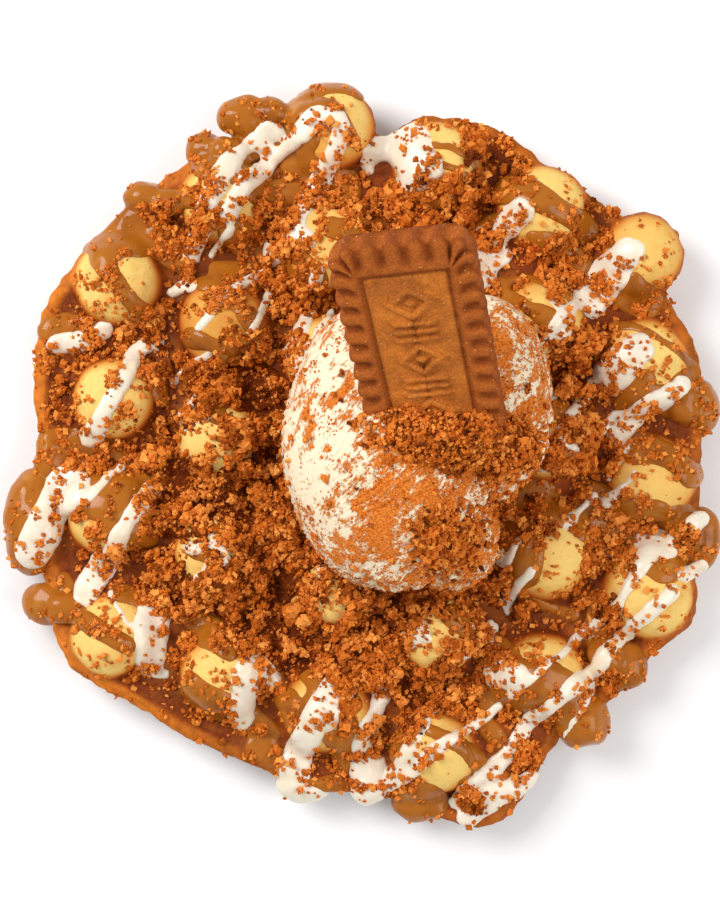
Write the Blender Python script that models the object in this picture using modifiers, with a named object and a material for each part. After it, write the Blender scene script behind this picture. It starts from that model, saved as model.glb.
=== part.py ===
"""Bubble waffle dressed with caramel sauce, white icing, biscuit crumbs, a scoop of cream and a spiced biscuit.

Run with: blender --background --python part.py
Units are metres and +Z is up. The origin is the middle of the footprint, on the table.
"""

import math
import random

import bmesh
import bpy
from mathutils import Matrix, Vector, geometry, noise

MM = 0.001

# Waffle: columns of bubbles on a sheared lattice, joined by a thin web at half height.
COLUMN_PITCH = 26.75 * MM
ROW_PITCH = 29.0 * MM
COLUMN_DROP = 9.85 * MM
FIRST_BUBBLE = Vector((-61.5, 43.25)) * MM
FIRST_ROWS = (0, -1, -2, -2, -2, -2)
ROW_COUNTS = (4, 5, 6, 6, 5, 4)
BUBBLE_RADIUS = 11.4 * MM
BUBBLE_RADIUS_SPREAD = 0.06
BUBBLE_SHIFT = 0.8 * MM
DOME_HEIGHT = 10.6 * MM
DOME_HEIGHT_SPREAD = 0.07
BUBBLE_SEGMENTS = 12
BUBBLE_RINGS = 6
WEB_MIDDLE = DOME_HEIGHT * math.cos(math.pi / BUBBLE_RINGS)
WEB_THICKNESS = 2.8 * MM
WEB_TOP = WEB_MIDDLE + WEB_THICKNESS / 2

# Web outline: a circle with lobes and notches, each at an angle, with a reach and an angular half width.
WEB_RADIUS = 84.0 * MM
WEB_LOBES = (
    (18, 3.0, 12), (43, 3.5, 8), (70, 3.5, 14), (86, -6.0, 3), (153, 3.0, 10), (179, -4.0, 9),
    (215, 5.5, 9), (245, -2.0, 14), (290, 13.5, 11), (318, 3.0, 8), (334, 8.5, 8), (350, 1.5, 8),
)
OUTLINE_POINTS = 54
EDGE_WAVE = 1.1 * MM
RIM_RADIUS = 1.7 * MM
RIM_INSET = 2.2 * MM

# Sauces: each stroke is a path in plan, in millimetres, followed by its width.
SAUCE_STEP = 8.0 * MM
SAUCE_FLATNESS = 0.5
SAUCE_SIDES = 5
CARAMEL_STROKES = (
    (((-29, 84), (-15, 87), (-4, 87), (4, 76)), 7.0),
    (((-39, 76), (-27, 77), (-10, 76)), 7.5),
    (((-41, 72), (-29, 69), (-22, 62), (-20, 50)), 6.5),
    (((-53, 64), (-42, 62), (-30, 58)), 7.0),
    (((-68, 52), (-60, 57), (-48, 52)), 11.0),
    (((-66, 48), (-61, 40), (-52, 31)), 8.0),
    (((-39, 43), (-26, 41)), 6.0),
    (((-80, 30), (-71, 31), (-62, 26)), 8.0),
    (((-57, 18), (-50, 11)), 8.0),
    (((-80, -2), (-66, -2), (-51, -6)), 10.0),
    (((-80, -18), (-72, -27), (-62, -29)), 9.0),
    (((-76, -36), (-68, -40), (-57, -49)), 5.5),
    (((-61, -35), (-52, -41)), 7.0),
    (((-46, -58), (-35, -65), (-22, -76)), 6.0),
    (((-40, -45), (-32, -50)), 8.0),
    (((10, -66), (21, -72), (31, -78)), 8.0),
    (((20, -62), (30, -68), (39, -74)), 7.0),
    (((30, -52), (44, -58), (57, -67)), 16.0),
    (((45, -39), (56, -45), (68, -51)), 8.0),
    (((50, -14), (58, -20)), 9.0),
    (((59, -22), (70, -25), (79, -27)), 13.0),
    (((60, -11), (72, -15), (85, -20)), 9.0),
    (((68, 4), (77, -3), (84, -9)), 12.0),
    (((64, 19), (74, 14), (85, 12)), 9.0),
    (((45, 17), (57, 11)), 7.0),
    (((35, 64), (47, 60), (58, 54)), 5.5),
    (((43, 54), (50, 50), (57, 46)), 5.5),
    (((13, 76), (22, 71), (31, 64)), 5.0),
    (((59, 38), (73, 36)), 8.0),
)
ICING_STROKES = (
    (((-43, 52), (-33, 64), (-20, 76), (-8, 84), (-4, 76), (-8, 65), (-17, 58), (-22, 51)), 5.0),
    (((1, 71), (6, 77), (14, 77), (12, 66)), 8.0),
    (((34, 43), (39, 54), (42, 61)), 7.0),
    (((59, 37), (65, 47), (71, 55)), 7.5),
    (((57, 13), (65, 20), (72, 26)), 9.0),
    (((51, -1), (65, 7), (76, 15), (82, 19)), 5.5),
    (((65, -38), (71, -26), (76, -22)), 6.0),
    (((7, -84), (15, -70)), 5.0),
    (((22, -90), (35, -85), (45, -80)), 5.5),
    (((-17, -80), (-10, -68), (-5, -59)), 9.0),
    (((2, -82), (4, -70), (5, -60)), 7.5),
    (((-31, -65), (-32, -57), (-26, -50)), 9.0),
    (((-49, -54), (-53, -46), (-49, -38)), 11.0),
    (((-69, -33), (-62, -26), (-57, -16), (-52, -9)), 6.5),
    (((-79, -27), (-78, -13), (-71, -4)), 11.0),
)
# Drips where a sauce runs over the edge: place in plan, height of the middle, and half sizes, in millimetres.
DRIPS = (
    ((-29, 84), 11.0, (7.5, 5.2, 5.0)), ((-39, 76), 10.0, (5.2, 4.4, 4.5)), ((-53, 64), 10.5, (6.0, 4.0, 4.5)),
    ((-82, -17), 9.5, (7.2, 13.5, 7.0)), ((-79, -37), 8.0, (5.8, 5.6, 5.5)), ((85, 12), 9.0, (5.0, 7.2, 5.5)),
    ((85, -21), 9.5, (4.8, 8.0, 5.5)), ((68, -52), 9.0, (6.4, 6.4, 6.0)), ((57, -67), 10.0, (7.4, 7.2, 7.0)),
    ((15, -87), 8.0, (7.0, 5.0, 5.0)), ((-14, -82), 8.5, (7.4, 4.8, 4.8)), ((2, -83), 9.0, (5.2, 4.6, 4.5)),
)

# Crumbs: heaped beds between the bubbles, and loose crumbs. Each bed is a place, two radii and a top height.
CRUMB_BEDS = (
    ((-31, -16), 29, 22, 19.6), ((0, -46), 21, 14, 18.6), ((-26, 16), 17, 11, 17.2), ((-30, -46), 15, 10, 17.6),
    ((20, 60), 15, 9, 17.0), ((51, 22), 12, 7, 16.2), ((40, -30), 12, 8, 16.6), ((13, 4), 30, 24, 17.0),
)
BED_SIDES = 14
CRUMB_COUNT = 38
CRUMB_SIZES = (0.9 * MM, 2.4 * MM)
LARGEST_CRUMBS = (
    ((-16, -39), 3.4), ((-43, -46), 3.2), ((57, 27), 3.2), ((36, -65), 2.8), ((4, -74), 2.8), ((27, -84), 3.6),
    ((-47, -42), 2.2), ((-24, -32), 2.6), ((-24, -9), 3.0), ((-52, -52), 2.0),
)

SLIVER_LENGTH = 1.0 * MM

# Cream: a main scoop and a side lobe, as a centre and half sizes in millimetres.
SCOOP_MAIN = ((7.0, 2.5, 28.0), (25.5, 35.0, 24.0))
SCOOP_LOBE = ((28.0, 13.5, 26.0), (17.5, 25.0, 20.0))
SCOOP_LIP = ((22.0, -20.0, 25.0), (11.0, 13.0, 12.0))
SCOOP_FOOT = 15.0 * MM
SCOOP_ROUGHNESS = 1.3 * MM
SCOOP_CRUMBS = 16
SEAT_GAP = 0.4 * MM

# Biscuit: a scalloped slab with a sunken panel, standing out of the cream at a slope.
BISCUIT_LENGTH = 62.0 * MM
BISCUIT_WIDTH = 31.5 * MM
BISCUIT_THICKNESS = 6.5 * MM
BISCUIT_CORNER = 6.0 * MM
BISCUIT_BORDER = 6.2 * MM
BISCUIT_PANEL_DEPTH = 0.9 * MM
SCALLOP_PITCH = 4.2 * MM
SCALLOP_DEPTH = 0.35 * MM
BISCUIT_TOP_END = Vector((7.4, 45.5, 80.0)) * MM
BISCUIT_DOWN = Vector((9.1, -34.9, -31.0)).normalized()
BISCUIT_ROLL = math.radians(14)
BISCUIT_GAP = 0.35 * MM

# The middle of everything above, in plan, which is moved to the origin.
FOOTPRINT_MIDDLE = Vector((0.455, 0.155, 0.0)) * MM


def clear_scene():
    for obj in list(bpy.data.objects):
        bpy.data.objects.remove(obj, do_unlink=True)


def new_collection(name):
    made = bpy.data.collections.new(name)
    bpy.context.scene.collection.children.link(made)
    return made


def move_to(obj, collection):
    for held in list(obj.users_collection):
        held.objects.unlink(obj)
    collection.objects.link(obj)
    return obj


def material(name, colour, roughness):
    made = bpy.data.materials.new(name)
    made.use_nodes = True
    shader = made.node_tree.nodes["Principled BSDF"]
    shader.inputs["Base Color"].default_value = (*colour, 1.0)
    shader.inputs["Roughness"].default_value = roughness
    shader.inputs["Metallic"].default_value = 0.0
    return made


def bubbles():
    """(centre in plan, radius, dome height) of each bubble."""
    draw = random.Random(7)
    made = []
    for column, (first, count) in enumerate(zip(FIRST_ROWS, ROW_COUNTS)):
        for row in range(first, first + count):
            x = FIRST_BUBBLE.x + column * COLUMN_PITCH + draw.uniform(-BUBBLE_SHIFT, BUBBLE_SHIFT)
            y = FIRST_BUBBLE.y - column * COLUMN_DROP - row * ROW_PITCH + draw.uniform(-BUBBLE_SHIFT, BUBBLE_SHIFT)
            radius = BUBBLE_RADIUS * (1 + draw.uniform(-BUBBLE_RADIUS_SPREAD, BUBBLE_RADIUS_SPREAD))
            height = DOME_HEIGHT * (1 + draw.uniform(-DOME_HEIGHT_SPREAD, DOME_HEIGHT_SPREAD))
            made.append((Vector((x, y)), radius, height))
    return made


def web_radius(angle):
    """Distance from the middle to the web's edge, in the direction of an angle in degrees."""
    reach = WEB_RADIUS
    for middle, extra, width in WEB_LOBES:
        off = (angle - middle + 180) % 360 - 180
        reach += extra * MM * math.exp(-((off / width) ** 2))
    return reach


def edge_wave(angle):
    """Height that the web's edge rises or sags at an angle in degrees."""
    turn = math.radians(angle)
    return EDGE_WAVE * (0.6 * math.sin(3 * turn + 0.7) + 0.4 * math.sin(7 * turn))


def web_outline(inset=0.0):
    points = []
    for step in range(OUTLINE_POINTS):
        angle = 360 * step / OUTLINE_POINTS
        reach = web_radius(angle) - inset
        turn = math.radians(angle)
        points.append(Vector((reach * math.cos(turn), reach * math.sin(turn), edge_wave(angle))))
    return points


def resting_height(x, y, cells):
    """Height of the waffle's upper surface at a place in plan. It falls away past the web's edge."""
    place = Vector((x, y))
    height = WEB_TOP
    beyond = place.length - web_radius(math.degrees(math.atan2(y, x)))
    if beyond > 0:
        height -= beyond
    for centre, radius, dome in cells:
        share = (place - centre).length / radius
        if share < 1:
            height = max(height, WEB_MIDDLE + dome * math.sqrt(1 - share * share))
    for (bed_x, bed_y), foot, top, level in CRUMB_BEDS:
        share = (foot * MM - (place - Vector((bed_x, bed_y)) * MM).length) / ((foot - top) * MM)
        if share > 0:
            height = max(height, WEB_TOP + min(share, 1.0) * (level * MM - WEB_TOP))
    return height


def smooth_path(points, step):
    """Points along a Catmull-Rom curve through a path in plan, about a step apart."""
    ends = [points[0] * 2 - points[1], *points, points[-1] * 2 - points[-2]]
    made = []
    for before, start, end, after in zip(ends, ends[1:], ends[2:], ends[3:]):
        count = max(1, round((end - start).length / step))
        for index in range(count):
            t = index / count
            made.append(
                0.5 * ((2 * start) + (end - before) * t + (2 * before - 5 * start + 4 * end - after) * t ** 2
                       + (3 * start - before - 3 * end + after) * t ** 3)
            )
    return [*made, points[-1]]


def mesh_of_curve(curve):
    """A mesh object in place of a curve object, with its caps welded to its sides."""
    graph = bpy.context.evaluated_depsgraph_get()
    mesh = bpy.data.meshes.new_from_object(curve.evaluated_get(graph))
    obj = bpy.data.objects.new(curve.name + "_mesh", mesh)
    bpy.context.scene.collection.objects.link(obj)
    obj.matrix_world = curve.matrix_world
    bpy.data.objects.remove(curve, do_unlink=True)
    weld = obj.modifiers.new("Weld", "WELD")
    weld.merge_threshold = 0.01 * MM
    return applied(obj)


def applied(obj):
    """The object with its modifiers applied to its mesh."""
    graph = bpy.context.evaluated_depsgraph_get()
    mesh = bpy.data.meshes.new_from_object(obj.evaluated_get(graph))
    obj.modifiers.clear()
    obj.data = mesh
    return obj


def curve_object(name, points, cyclic, radii=None):
    data = bpy.data.curves.new(name, "CURVE")
    data.dimensions = "3D"
    data.twist_mode = "Z_UP"
    spline = data.splines.new("POLY")
    spline.points.add(len(points) - 1)
    for index, (point, place) in enumerate(zip(spline.points, points)):
        point.co = (*place, 1.0)
        point.radius = radii[index] if radii else 1.0
    spline.use_cyclic_u = cyclic
    obj = bpy.data.objects.new(name, data)
    bpy.context.scene.collection.objects.link(obj)
    return obj


def flat_section(width):
    """The closed outline of a sauce stroke's cross-section: a flattened ring."""
    points = []
    for side in range(SAUCE_SIDES):
        turn = -math.tau * side / SAUCE_SIDES
        points.append(Vector((math.cos(turn) * width / 2, math.sin(turn) * width / 2 * SAUCE_FLATNESS, 0)))
    return curve_object("section", points, cyclic=True)


def sauce_stroke(name, path, width, cells):
    """One band of sauce that lies over the bubbles and tapers at its ends."""
    places = smooth_path([Vector(p) * MM for p in path], SAUCE_STEP)
    heights = [resting_height(p.x, p.y, cells) for p in places]
    points, radii = [], []
    for index, place in enumerate(places):
        near = heights[max(0, index - 1):index + 2]
        height = 0.5 * heights[index] + 0.5 * sum(near) / len(near)
        points.append(Vector((place.x, place.y, height + 0.1 * width * MM)))
        to_end = min(index, len(places) - 1 - index)
        radii.append(0.62 if to_end == 0 else 1.0 + 0.15 * math.sin(2.3 * index + width))
    section = flat_section(width * MM)
    curve = curve_object(name, points, cyclic=False, radii=radii)
    curve.data.bevel_mode = "OBJECT"
    curve.data.bevel_object = section
    curve.data.use_fill_caps = True
    mesh = mesh_of_curve(curve)
    bpy.data.objects.remove(section, do_unlink=True)
    return mesh


def web():
    slab = extruded("web", web_outline(), WEB_MIDDLE - WEB_THICKNESS / 2, WEB_TOP)
    for vertex in slab.data.vertices:
        vertex.co.z += edge_wave(math.degrees(math.atan2(vertex.co.y, vertex.co.x)))
    return slab


def rim():
    """The raised lip along the web's edge."""
    lift = Vector((0, 0, WEB_TOP - 0.25 * RIM_RADIUS))
    curve = curve_object("rim", [p + lift for p in web_outline(RIM_INSET)], cyclic=True)
    curve.data.bevel_depth = RIM_RADIUS
    curve.data.bevel_resolution = 0
    return mesh_of_curve(curve)


def bubble(index, centre, radius, dome):
    """A hollow-looking bubble is solid here: a dome above the web and one below, with a flat spot to stand on."""
    bpy.ops.mesh.primitive_uv_sphere_add(segments=BUBBLE_SEGMENTS, ring_count=BUBBLE_RINGS, radius=1.0)
    obj = bpy.context.object
    obj.name = f"bubble_{index}"
    for vertex in obj.data.vertices:
        height = vertex.co.z * (dome if vertex.co.z > 0 else DOME_HEIGHT)
        vertex.co = (centre.x + vertex.co.x * radius, centre.y + vertex.co.y * radius, max(WEB_MIDDLE + height, 0.0))
    return obj


def rounded_lump(name, centre, half_sizes, subdivisions, roughness, draw):
    bpy.ops.mesh.primitive_ico_sphere_add(subdivisions=subdivisions, radius=1.0)
    obj = bpy.context.object
    obj.name = name
    spin = Matrix.Rotation(draw.uniform(0, math.tau), 3, "Z") if roughness else Matrix.Identity(3)
    for vertex in obj.data.vertices:
        reach = 1 + draw.uniform(-roughness, roughness)
        vertex.co = Vector(centre) + spin @ Vector(c * s * reach for c, s in zip(vertex.co, half_sizes))
    return obj


def crumb(name, place, height, size, draw):
    sizes = [size * draw.uniform(0.8, 1.15), size * draw.uniform(0.7, 1.0), size * draw.uniform(0.7, 0.95)]
    return rounded_lump(name, (place.x, place.y, height + 0.35 * size), sizes, 1, 0.16, draw)


def crumb_bed(index, place, foot, top, level, draw):
    bottom = WEB_MIDDLE
    bpy.ops.mesh.primitive_cone_add(vertices=BED_SIDES, radius1=foot * MM, radius2=top * MM,
                                    depth=level * MM - bottom)
    obj = bpy.context.object
    obj.name = f"crumb_bed_{index}"
    uneven = [draw.uniform(0.9, 1.08) for _ in range(BED_SIDES)]
    for number, vertex in enumerate(obj.data.vertices):
        scale = uneven[number // 2 % BED_SIDES]
        middle = (level * MM + bottom) / 2
        vertex.co = (place[0] * MM + vertex.co.x * scale, place[1] * MM + vertex.co.y * scale, vertex.co.z + middle)
    return obj


def loose_crumbs(cells, draw):
    """Crumbs on the beds and thinly over the rest, largest first."""
    made = []
    for index, (place, size) in enumerate(LARGEST_CRUMBS):
        spot = Vector(place) * MM
        made.append(crumb(f"chunk_{index}", spot, resting_height(spot.x, spot.y, cells), size * MM, draw))
    weights = [foot * foot for _, foot, _, _ in CRUMB_BEDS[:-1]]
    for index in range(CRUMB_COUNT):
        (bed_x, bed_y), foot, _, _ = draw.choices(CRUMB_BEDS[:-1], weights)[0]
        turn, reach = draw.uniform(0, math.tau), foot * MM * math.sqrt(draw.random()) * 1.25
        spot = Vector((bed_x * MM + reach * math.cos(turn), bed_y * MM + reach * math.sin(turn)))
        size = CRUMB_SIZES[0] + (CRUMB_SIZES[1] - CRUMB_SIZES[0]) * (1 - index / CRUMB_COUNT) ** 1.5
        made.append(crumb(f"crumb_{index}", spot, resting_height(spot.x, spot.y, cells), size, draw))
    return made


def largest_island(obj):
    """Drops the loose scraps and sealed hollows that a Boolean leaves, and keeps the main body."""
    shape = bmesh.new()
    shape.from_mesh(obj.data)
    left, islands = set(shape.verts), []
    while left:
        island, edge_of = set(), [left.pop()]
        while edge_of:
            vertex = edge_of.pop()
            island.add(vertex)
            found = {e.other_vert(vertex) for e in vertex.link_edges} & left
            left -= found
            edge_of += found
        islands.append(island)
    islands.sort(key=len)
    scraps = [vertex for island in islands[:-1] for vertex in island]
    bmesh.ops.delete(shape, geom=scraps, context="VERTS")
    shape.to_mesh(obj.data)
    shape.free()
    return obj


def fuse(name, base, others):
    """One solid out of a base and the pieces that it carries."""
    pieces = new_collection(name + "_pieces")
    for other in others:
        move_to(other, pieces)
    union = base.modifiers.new("Union", "BOOLEAN")
    union.operation = "UNION"
    union.operand_type = "COLLECTION"
    union.collection = pieces
    union.solver = "MANIFOLD"
    applied(base)
    for other in list(pieces.objects):
        bpy.data.objects.remove(other, do_unlink=True)
    bpy.data.collections.remove(pieces)
    base.name = name
    return largest_island(base)


def cut(obj, cutter):
    difference = obj.modifiers.new("Cut", "BOOLEAN")
    difference.operation = "DIFFERENCE"
    difference.object = cutter
    difference.solver = "MANIFOLD"
    applied(obj)
    bpy.data.objects.remove(cutter, do_unlink=True)
    return largest_island(obj)


def turns_over(vertex, other, goal):
    """Whether moving a vertex to a goal flips a face, one that doesn't also hold the other vertex."""
    for face in vertex.link_faces:
        if other not in face.verts:
            corners = [goal if corner is vertex else corner.co for corner in face.verts]
            if geometry.normal(corners).dot(geometry.normal([corner.co for corner in face.verts])) < 0.5:
                return True
    return False


def can_close(edge):
    """Whether an edge can shrink to a point with the surface still closed and no face turned over."""
    one, two = edge.verts
    shared = {e.other_vert(one) for e in one.link_edges} & {e.other_vert(two) for e in two.link_edges}
    middle = (one.co + two.co) / 2
    return len(shared) == 2 and not turns_over(one, two, middle) and not turns_over(two, one, middle)


def without_slivers(obj, shortest):
    """Splits the faces into triangles and shrinks each edge shorter than a length to a point, where it can be."""
    shape = bmesh.new()
    shape.from_mesh(obj.data)
    bmesh.ops.triangulate(shape, faces=shape.faces)
    for edge in sorted(shape.edges, key=lambda edge: edge.calc_length()):
        if edge.is_valid and edge.calc_length() < shortest and can_close(edge):
            middle = (edge.verts[0].co + edge.verts[1].co) / 2
            bmesh.ops.pointmerge(shape, verts=edge.verts, merge_co=middle)
    shape.to_mesh(obj.data)
    shape.free()
    return obj


def waffle(cells):
    draw = random.Random(11)
    pieces = [rim()]
    pieces += [bubble(index, *cell) for index, cell in enumerate(cells)]
    pieces += [crumb_bed(index, *bed, draw) for index, bed in enumerate(CRUMB_BEDS)]
    pieces += [sauce_stroke(f"caramel_{i}", path, width, cells) for i, (path, width) in enumerate(CARAMEL_STROKES)]
    pieces += [sauce_stroke(f"icing_{i}", path, width, cells) for i, (path, width) in enumerate(ICING_STROKES)]
    for index, ((x, y), z, half_sizes) in enumerate(DRIPS):
        centre = Vector((x, y, z)) * MM
        pieces.append(rounded_lump(f"drip_{index}", centre, [s * MM for s in half_sizes], 2, 0.0, draw))
    pieces += loose_crumbs(cells, draw)
    return without_slivers(fuse("waffle", web(), pieces), SLIVER_LENGTH)


def scoop_ball(name, shape, segments, rings):
    (x, y, z), half_sizes = shape
    bpy.ops.mesh.primitive_uv_sphere_add(segments=segments, ring_count=rings, radius=1.0)
    obj = bpy.context.object
    obj.name = name
    for vertex in obj.data.vertices:
        reach = 1 + SCOOP_ROUGHNESS * noise.noise(vertex.co * 2.6 + Vector((x, y, z))) / (half_sizes[0] * MM)
        vertex.co = (Vector((x, y, z)) + Vector(c * s * reach for c, s in zip(vertex.co, half_sizes))) * MM
        vertex.co.z = max(vertex.co.z, SCOOP_FOOT)
    return obj


def scoop_height(x, y):
    """Height of the cream at a place in plan."""
    height = 0.0
    for (middle_x, middle_y, middle_z), (rx, ry, rz) in (SCOOP_MAIN, SCOOP_LOBE, SCOOP_LIP):
        share = ((x / MM - middle_x) / rx) ** 2 + ((y / MM - middle_y) / ry) ** 2
        if share < 1:
            height = max(height, (middle_z + rz * math.sqrt(1 - share)) * MM)
    return height


def biscuit_frame():
    """Matrix that takes the biscuit from flat, with its length along Y and its face up, to its place."""
    length = -BISCUIT_DOWN
    level = length.cross(Vector((0, 0, 1))).normalized()
    across = Matrix.Rotation(-BISCUIT_ROLL, 3, length) @ level
    face = across.cross(length)
    turn = Matrix((across, length, face)).transposed().to_4x4()
    return Matrix.Translation(BISCUIT_TOP_END + BISCUIT_DOWN * BISCUIT_LENGTH / 2) @ turn


def biscuit_outline(inset, scallops):
    """Points round a rounded rectangle, waved so that each wave is one scallop."""
    half_x, half_y = BISCUIT_WIDTH / 2 - inset, BISCUIT_LENGTH / 2 - inset
    corner = max(BISCUIT_CORNER - inset, 0.8 * MM)
    quarter = math.pi / 2 * corner
    sides = [2 * (half_y - corner), 2 * (half_x - corner)] * 2
    around = sum(sides) + 4 * quarter
    waves = round(2 * (BISCUIT_WIDTH + BISCUIT_LENGTH) / SCALLOP_PITCH)
    count = 2 * waves
    corners = [Vector((half_x - corner, half_y - corner)), Vector((corner - half_x, half_y - corner)),
               Vector((corner - half_x, corner - half_y)), Vector((half_x - corner, corner - half_y))]
    points = []
    for index in range(count):
        along = around * index / count
        for side in range(4):
            turn = math.pi / 2 * side
            out = Vector((math.cos(turn), math.sin(turn)))
            ahead = Vector((-out.y, out.x))
            if along < sides[side]:
                place = corners[side - 1] + ahead * along + out * corner
                break
            along -= sides[side]
            if along < quarter:
                bend = turn + along / corner
                out = Vector((math.cos(bend), math.sin(bend)))
                place = corners[side] + out * corner
                break
            along -= quarter
        wave = scallops * (math.cos(math.tau * index * waves / count) - 1)
        points.append(place + out * wave)
    return points


def extruded(name, outline, low, high):
    """A slab with a flat outline, between two heights."""
    curve = curve_object(name + "_outline", [Vector((p.x, p.y, 0)) for p in outline], cyclic=True)
    curve.data.dimensions = "2D"
    curve.data.fill_mode = "BOTH"
    curve.data.extrude = (high - low) / 2
    slab = mesh_of_curve(curve)
    slab.name = name
    slab.data.transform(Matrix.Translation((0, 0, (high + low) / 2)))
    return slab


def biscuit():
    half = BISCUIT_THICKNESS / 2
    slab = extruded("biscuit", biscuit_outline(0.0, SCALLOP_DEPTH), -half, half)
    bevel = slab.modifiers.new("Bevel", "BEVEL")
    bevel.width = 0.9 * MM
    bevel.segments = 1
    bevel.limit_method = "ANGLE"
    bevel.angle_limit = math.radians(60)
    applied(slab)
    cut(slab, extruded("panel", biscuit_outline(BISCUIT_BORDER, 0.0), half - BISCUIT_PANEL_DEPTH, 2 * half))
    slab.data.transform(biscuit_frame())
    return slab


def biscuit_pocket():
    """The biscuit's own room in the cream, with a little play all round."""
    half = BISCUIT_THICKNESS / 2 + BISCUIT_GAP
    pocket = extruded("pocket", biscuit_outline(-BISCUIT_GAP, 0.0), -half, half)
    pocket.data.transform(biscuit_frame())
    return pocket


def cream_scoop(waffle_solid):
    draw = random.Random(5)
    base = scoop_ball("cream_scoop", SCOOP_MAIN, 22, 14)
    lobes = [scoop_ball("lobe", SCOOP_LOBE, 16, 10), scoop_ball("lip", SCOOP_LIP, 12, 8)]
    for index in range(SCOOP_CRUMBS):
        turn, reach = draw.uniform(0, math.tau), 14 * MM * math.sqrt(draw.random())
        spot = Vector((16 * MM + reach * math.cos(turn), -2 * MM + 0.8 * reach * math.sin(turn)))
        height = scoop_height(spot.x, spot.y)
        lobes.append(crumb(f"crumb_{index}", spot, height, draw.uniform(*CRUMB_SIZES) * 0.8, draw))
    fuse("cream_scoop", base, lobes)
    for lift in (0.0, SEAT_GAP):
        seat = bpy.data.objects.new("seat", waffle_solid.data.copy())
        bpy.context.scene.collection.objects.link(seat)
        seat.data.transform(Matrix.Translation((0, 0, lift)))
        cut(base, seat)
    return cut(base, biscuit_pocket())


def finish(obj, collection, look):
    move_to(obj, collection)
    obj.data.materials.clear()
    obj.data.materials.append(look)
    obj.data.transform(Matrix.Translation(-FOOTPRINT_MIDDLE))
    obj.data.shade_smooth()
    obj.data.set_sharp_from_angle(angle=math.radians(45))


def main():
    clear_scene()
    collection = new_collection("bubble_waffle")
    waffle_solid = waffle(bubbles())
    finish(cream_scoop(waffle_solid), collection, material("cream", (0.92, 0.82, 0.62), 0.45))
    finish(waffle_solid, collection, material("baked_waffle", (0.78, 0.45, 0.12), 0.5))
    finish(biscuit(), collection, material("spiced_biscuit", (0.40, 0.15, 0.03), 0.75))


if __name__ == "__main__":
    main()
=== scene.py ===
"""Bubble waffle with caramel, icing, crumbs, a scoop of cream and a spiced biscuit, as a Blender add-on.

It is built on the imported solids: every piece is made in metres in their frame and stands for one of them or
lies on it.
"""
import itertools
import math
import random

import bmesh
import bpy
import numpy as np
from mathutils import Matrix, Vector
from mathutils.bvhtree import BVHTree


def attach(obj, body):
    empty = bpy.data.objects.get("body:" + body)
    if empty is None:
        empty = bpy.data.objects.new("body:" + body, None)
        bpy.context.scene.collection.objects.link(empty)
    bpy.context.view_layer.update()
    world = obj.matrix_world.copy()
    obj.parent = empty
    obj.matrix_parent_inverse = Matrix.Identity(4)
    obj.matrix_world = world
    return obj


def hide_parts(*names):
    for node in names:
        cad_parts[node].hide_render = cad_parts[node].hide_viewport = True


bl_info = {
    "name": "Bubble Waffle",
    "version": (1, 0, 0),
    "blender": (4, 5, 0),
    "location": "3D Viewport > Sidebar > Waffle",
    "description": "Bakes a bubble waffle and dresses it with sauces, crumbs, cream and a biscuit",
    "category": "Add Mesh",
}

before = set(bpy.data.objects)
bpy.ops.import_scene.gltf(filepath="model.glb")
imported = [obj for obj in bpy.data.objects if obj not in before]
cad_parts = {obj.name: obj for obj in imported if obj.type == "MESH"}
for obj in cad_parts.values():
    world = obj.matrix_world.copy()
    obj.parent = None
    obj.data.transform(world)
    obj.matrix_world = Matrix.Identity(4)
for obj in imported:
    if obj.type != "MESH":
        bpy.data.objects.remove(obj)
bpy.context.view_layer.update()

MM = 0.001

# The solids' own measures, in millimetres. SHIFT is how far they were moved to stand over the middle of
# their footprint.
SHIFT = np.array((-0.455, -0.155, 0.0))
COLUMN_PITCH = 26.75
ROW_PITCH = 29.0
COLUMN_DROP = 9.85
FIRST_BUBBLE = (-61.5, 43.25)
FIRST_ROWS = (0, -1, -2, -2, -2, -2)
ROW_COUNTS = (4, 5, 6, 6, 5, 4)
BUBBLE_SPREAD = 0.06
BUBBLE_SHIFT = 0.8
DOME_SPREAD = 0.07
WEB_MIDDLE = 10.6 * math.cos(math.pi / 6)
WEB_THICKNESS = 2.8
WEB_TOP = WEB_MIDDLE + WEB_THICKNESS / 2
WEB_RADIUS = 84.0
WEB_LOBES = (
    (18, 3.0, 12), (43, 3.5, 8), (70, 3.5, 14), (86, -6.0, 3), (153, 3.0, 10), (179, -4.0, 9),
    (215, 5.5, 9), (245, -2.0, 14), (290, 13.5, 11), (318, 3.0, 8), (334, 8.5, 8), (350, 1.5, 8),
)
EDGE_WAVE = 1.1
RIM_RADIUS = 1.7
RIM_INSET = 2.2
CARAMEL_DRIPS = (
    ((-29, 84, 11.0), (7.5, 5.2, 5.0)), ((-39, 76, 10.0), (5.2, 4.4, 4.5)),
    ((-53, 64, 10.5), (6.0, 4.0, 4.5)), ((-82, -17, 9.5), (7.2, 13.5, 7.0)),
    ((-79, -37, 8.0), (5.8, 5.6, 5.5)), ((85, 12, 9.0), (5.0, 7.2, 5.5)), ((85, -21, 9.5), (4.8, 8.0, 5.5)),
    ((65.6, -52.4, 9.0), (6.4, 6.4, 6.0)), ((55, -66, 10.0), (7.4, 7.2, 7.0)),
    ((15, -87, 8.0), (7.0, 5.0, 5.0)),
)
ICING_DRIPS = (((-14, -82, 8.5), (7.4, 4.8, 4.8)), ((2, -83, 9.0), (5.2, 4.6, 4.5)))
CRUMB_BEDS = (
    ((-31, -16), 29.0, 22.0, 19.6), ((0, -46), 21.0, 14.0, 18.6), ((-26, 16), 17.0, 11.0, 17.2),
    ((-30, -46), 15.0, 10.0, 17.6), ((20, 60), 15.0, 9.0, 17.0), ((51, 22), 12.0, 7.0, 16.2),
    ((40, -30), 12.0, 8.0, 16.6), ((13, 4), 30.0, 24.0, 17.0),
)
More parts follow.
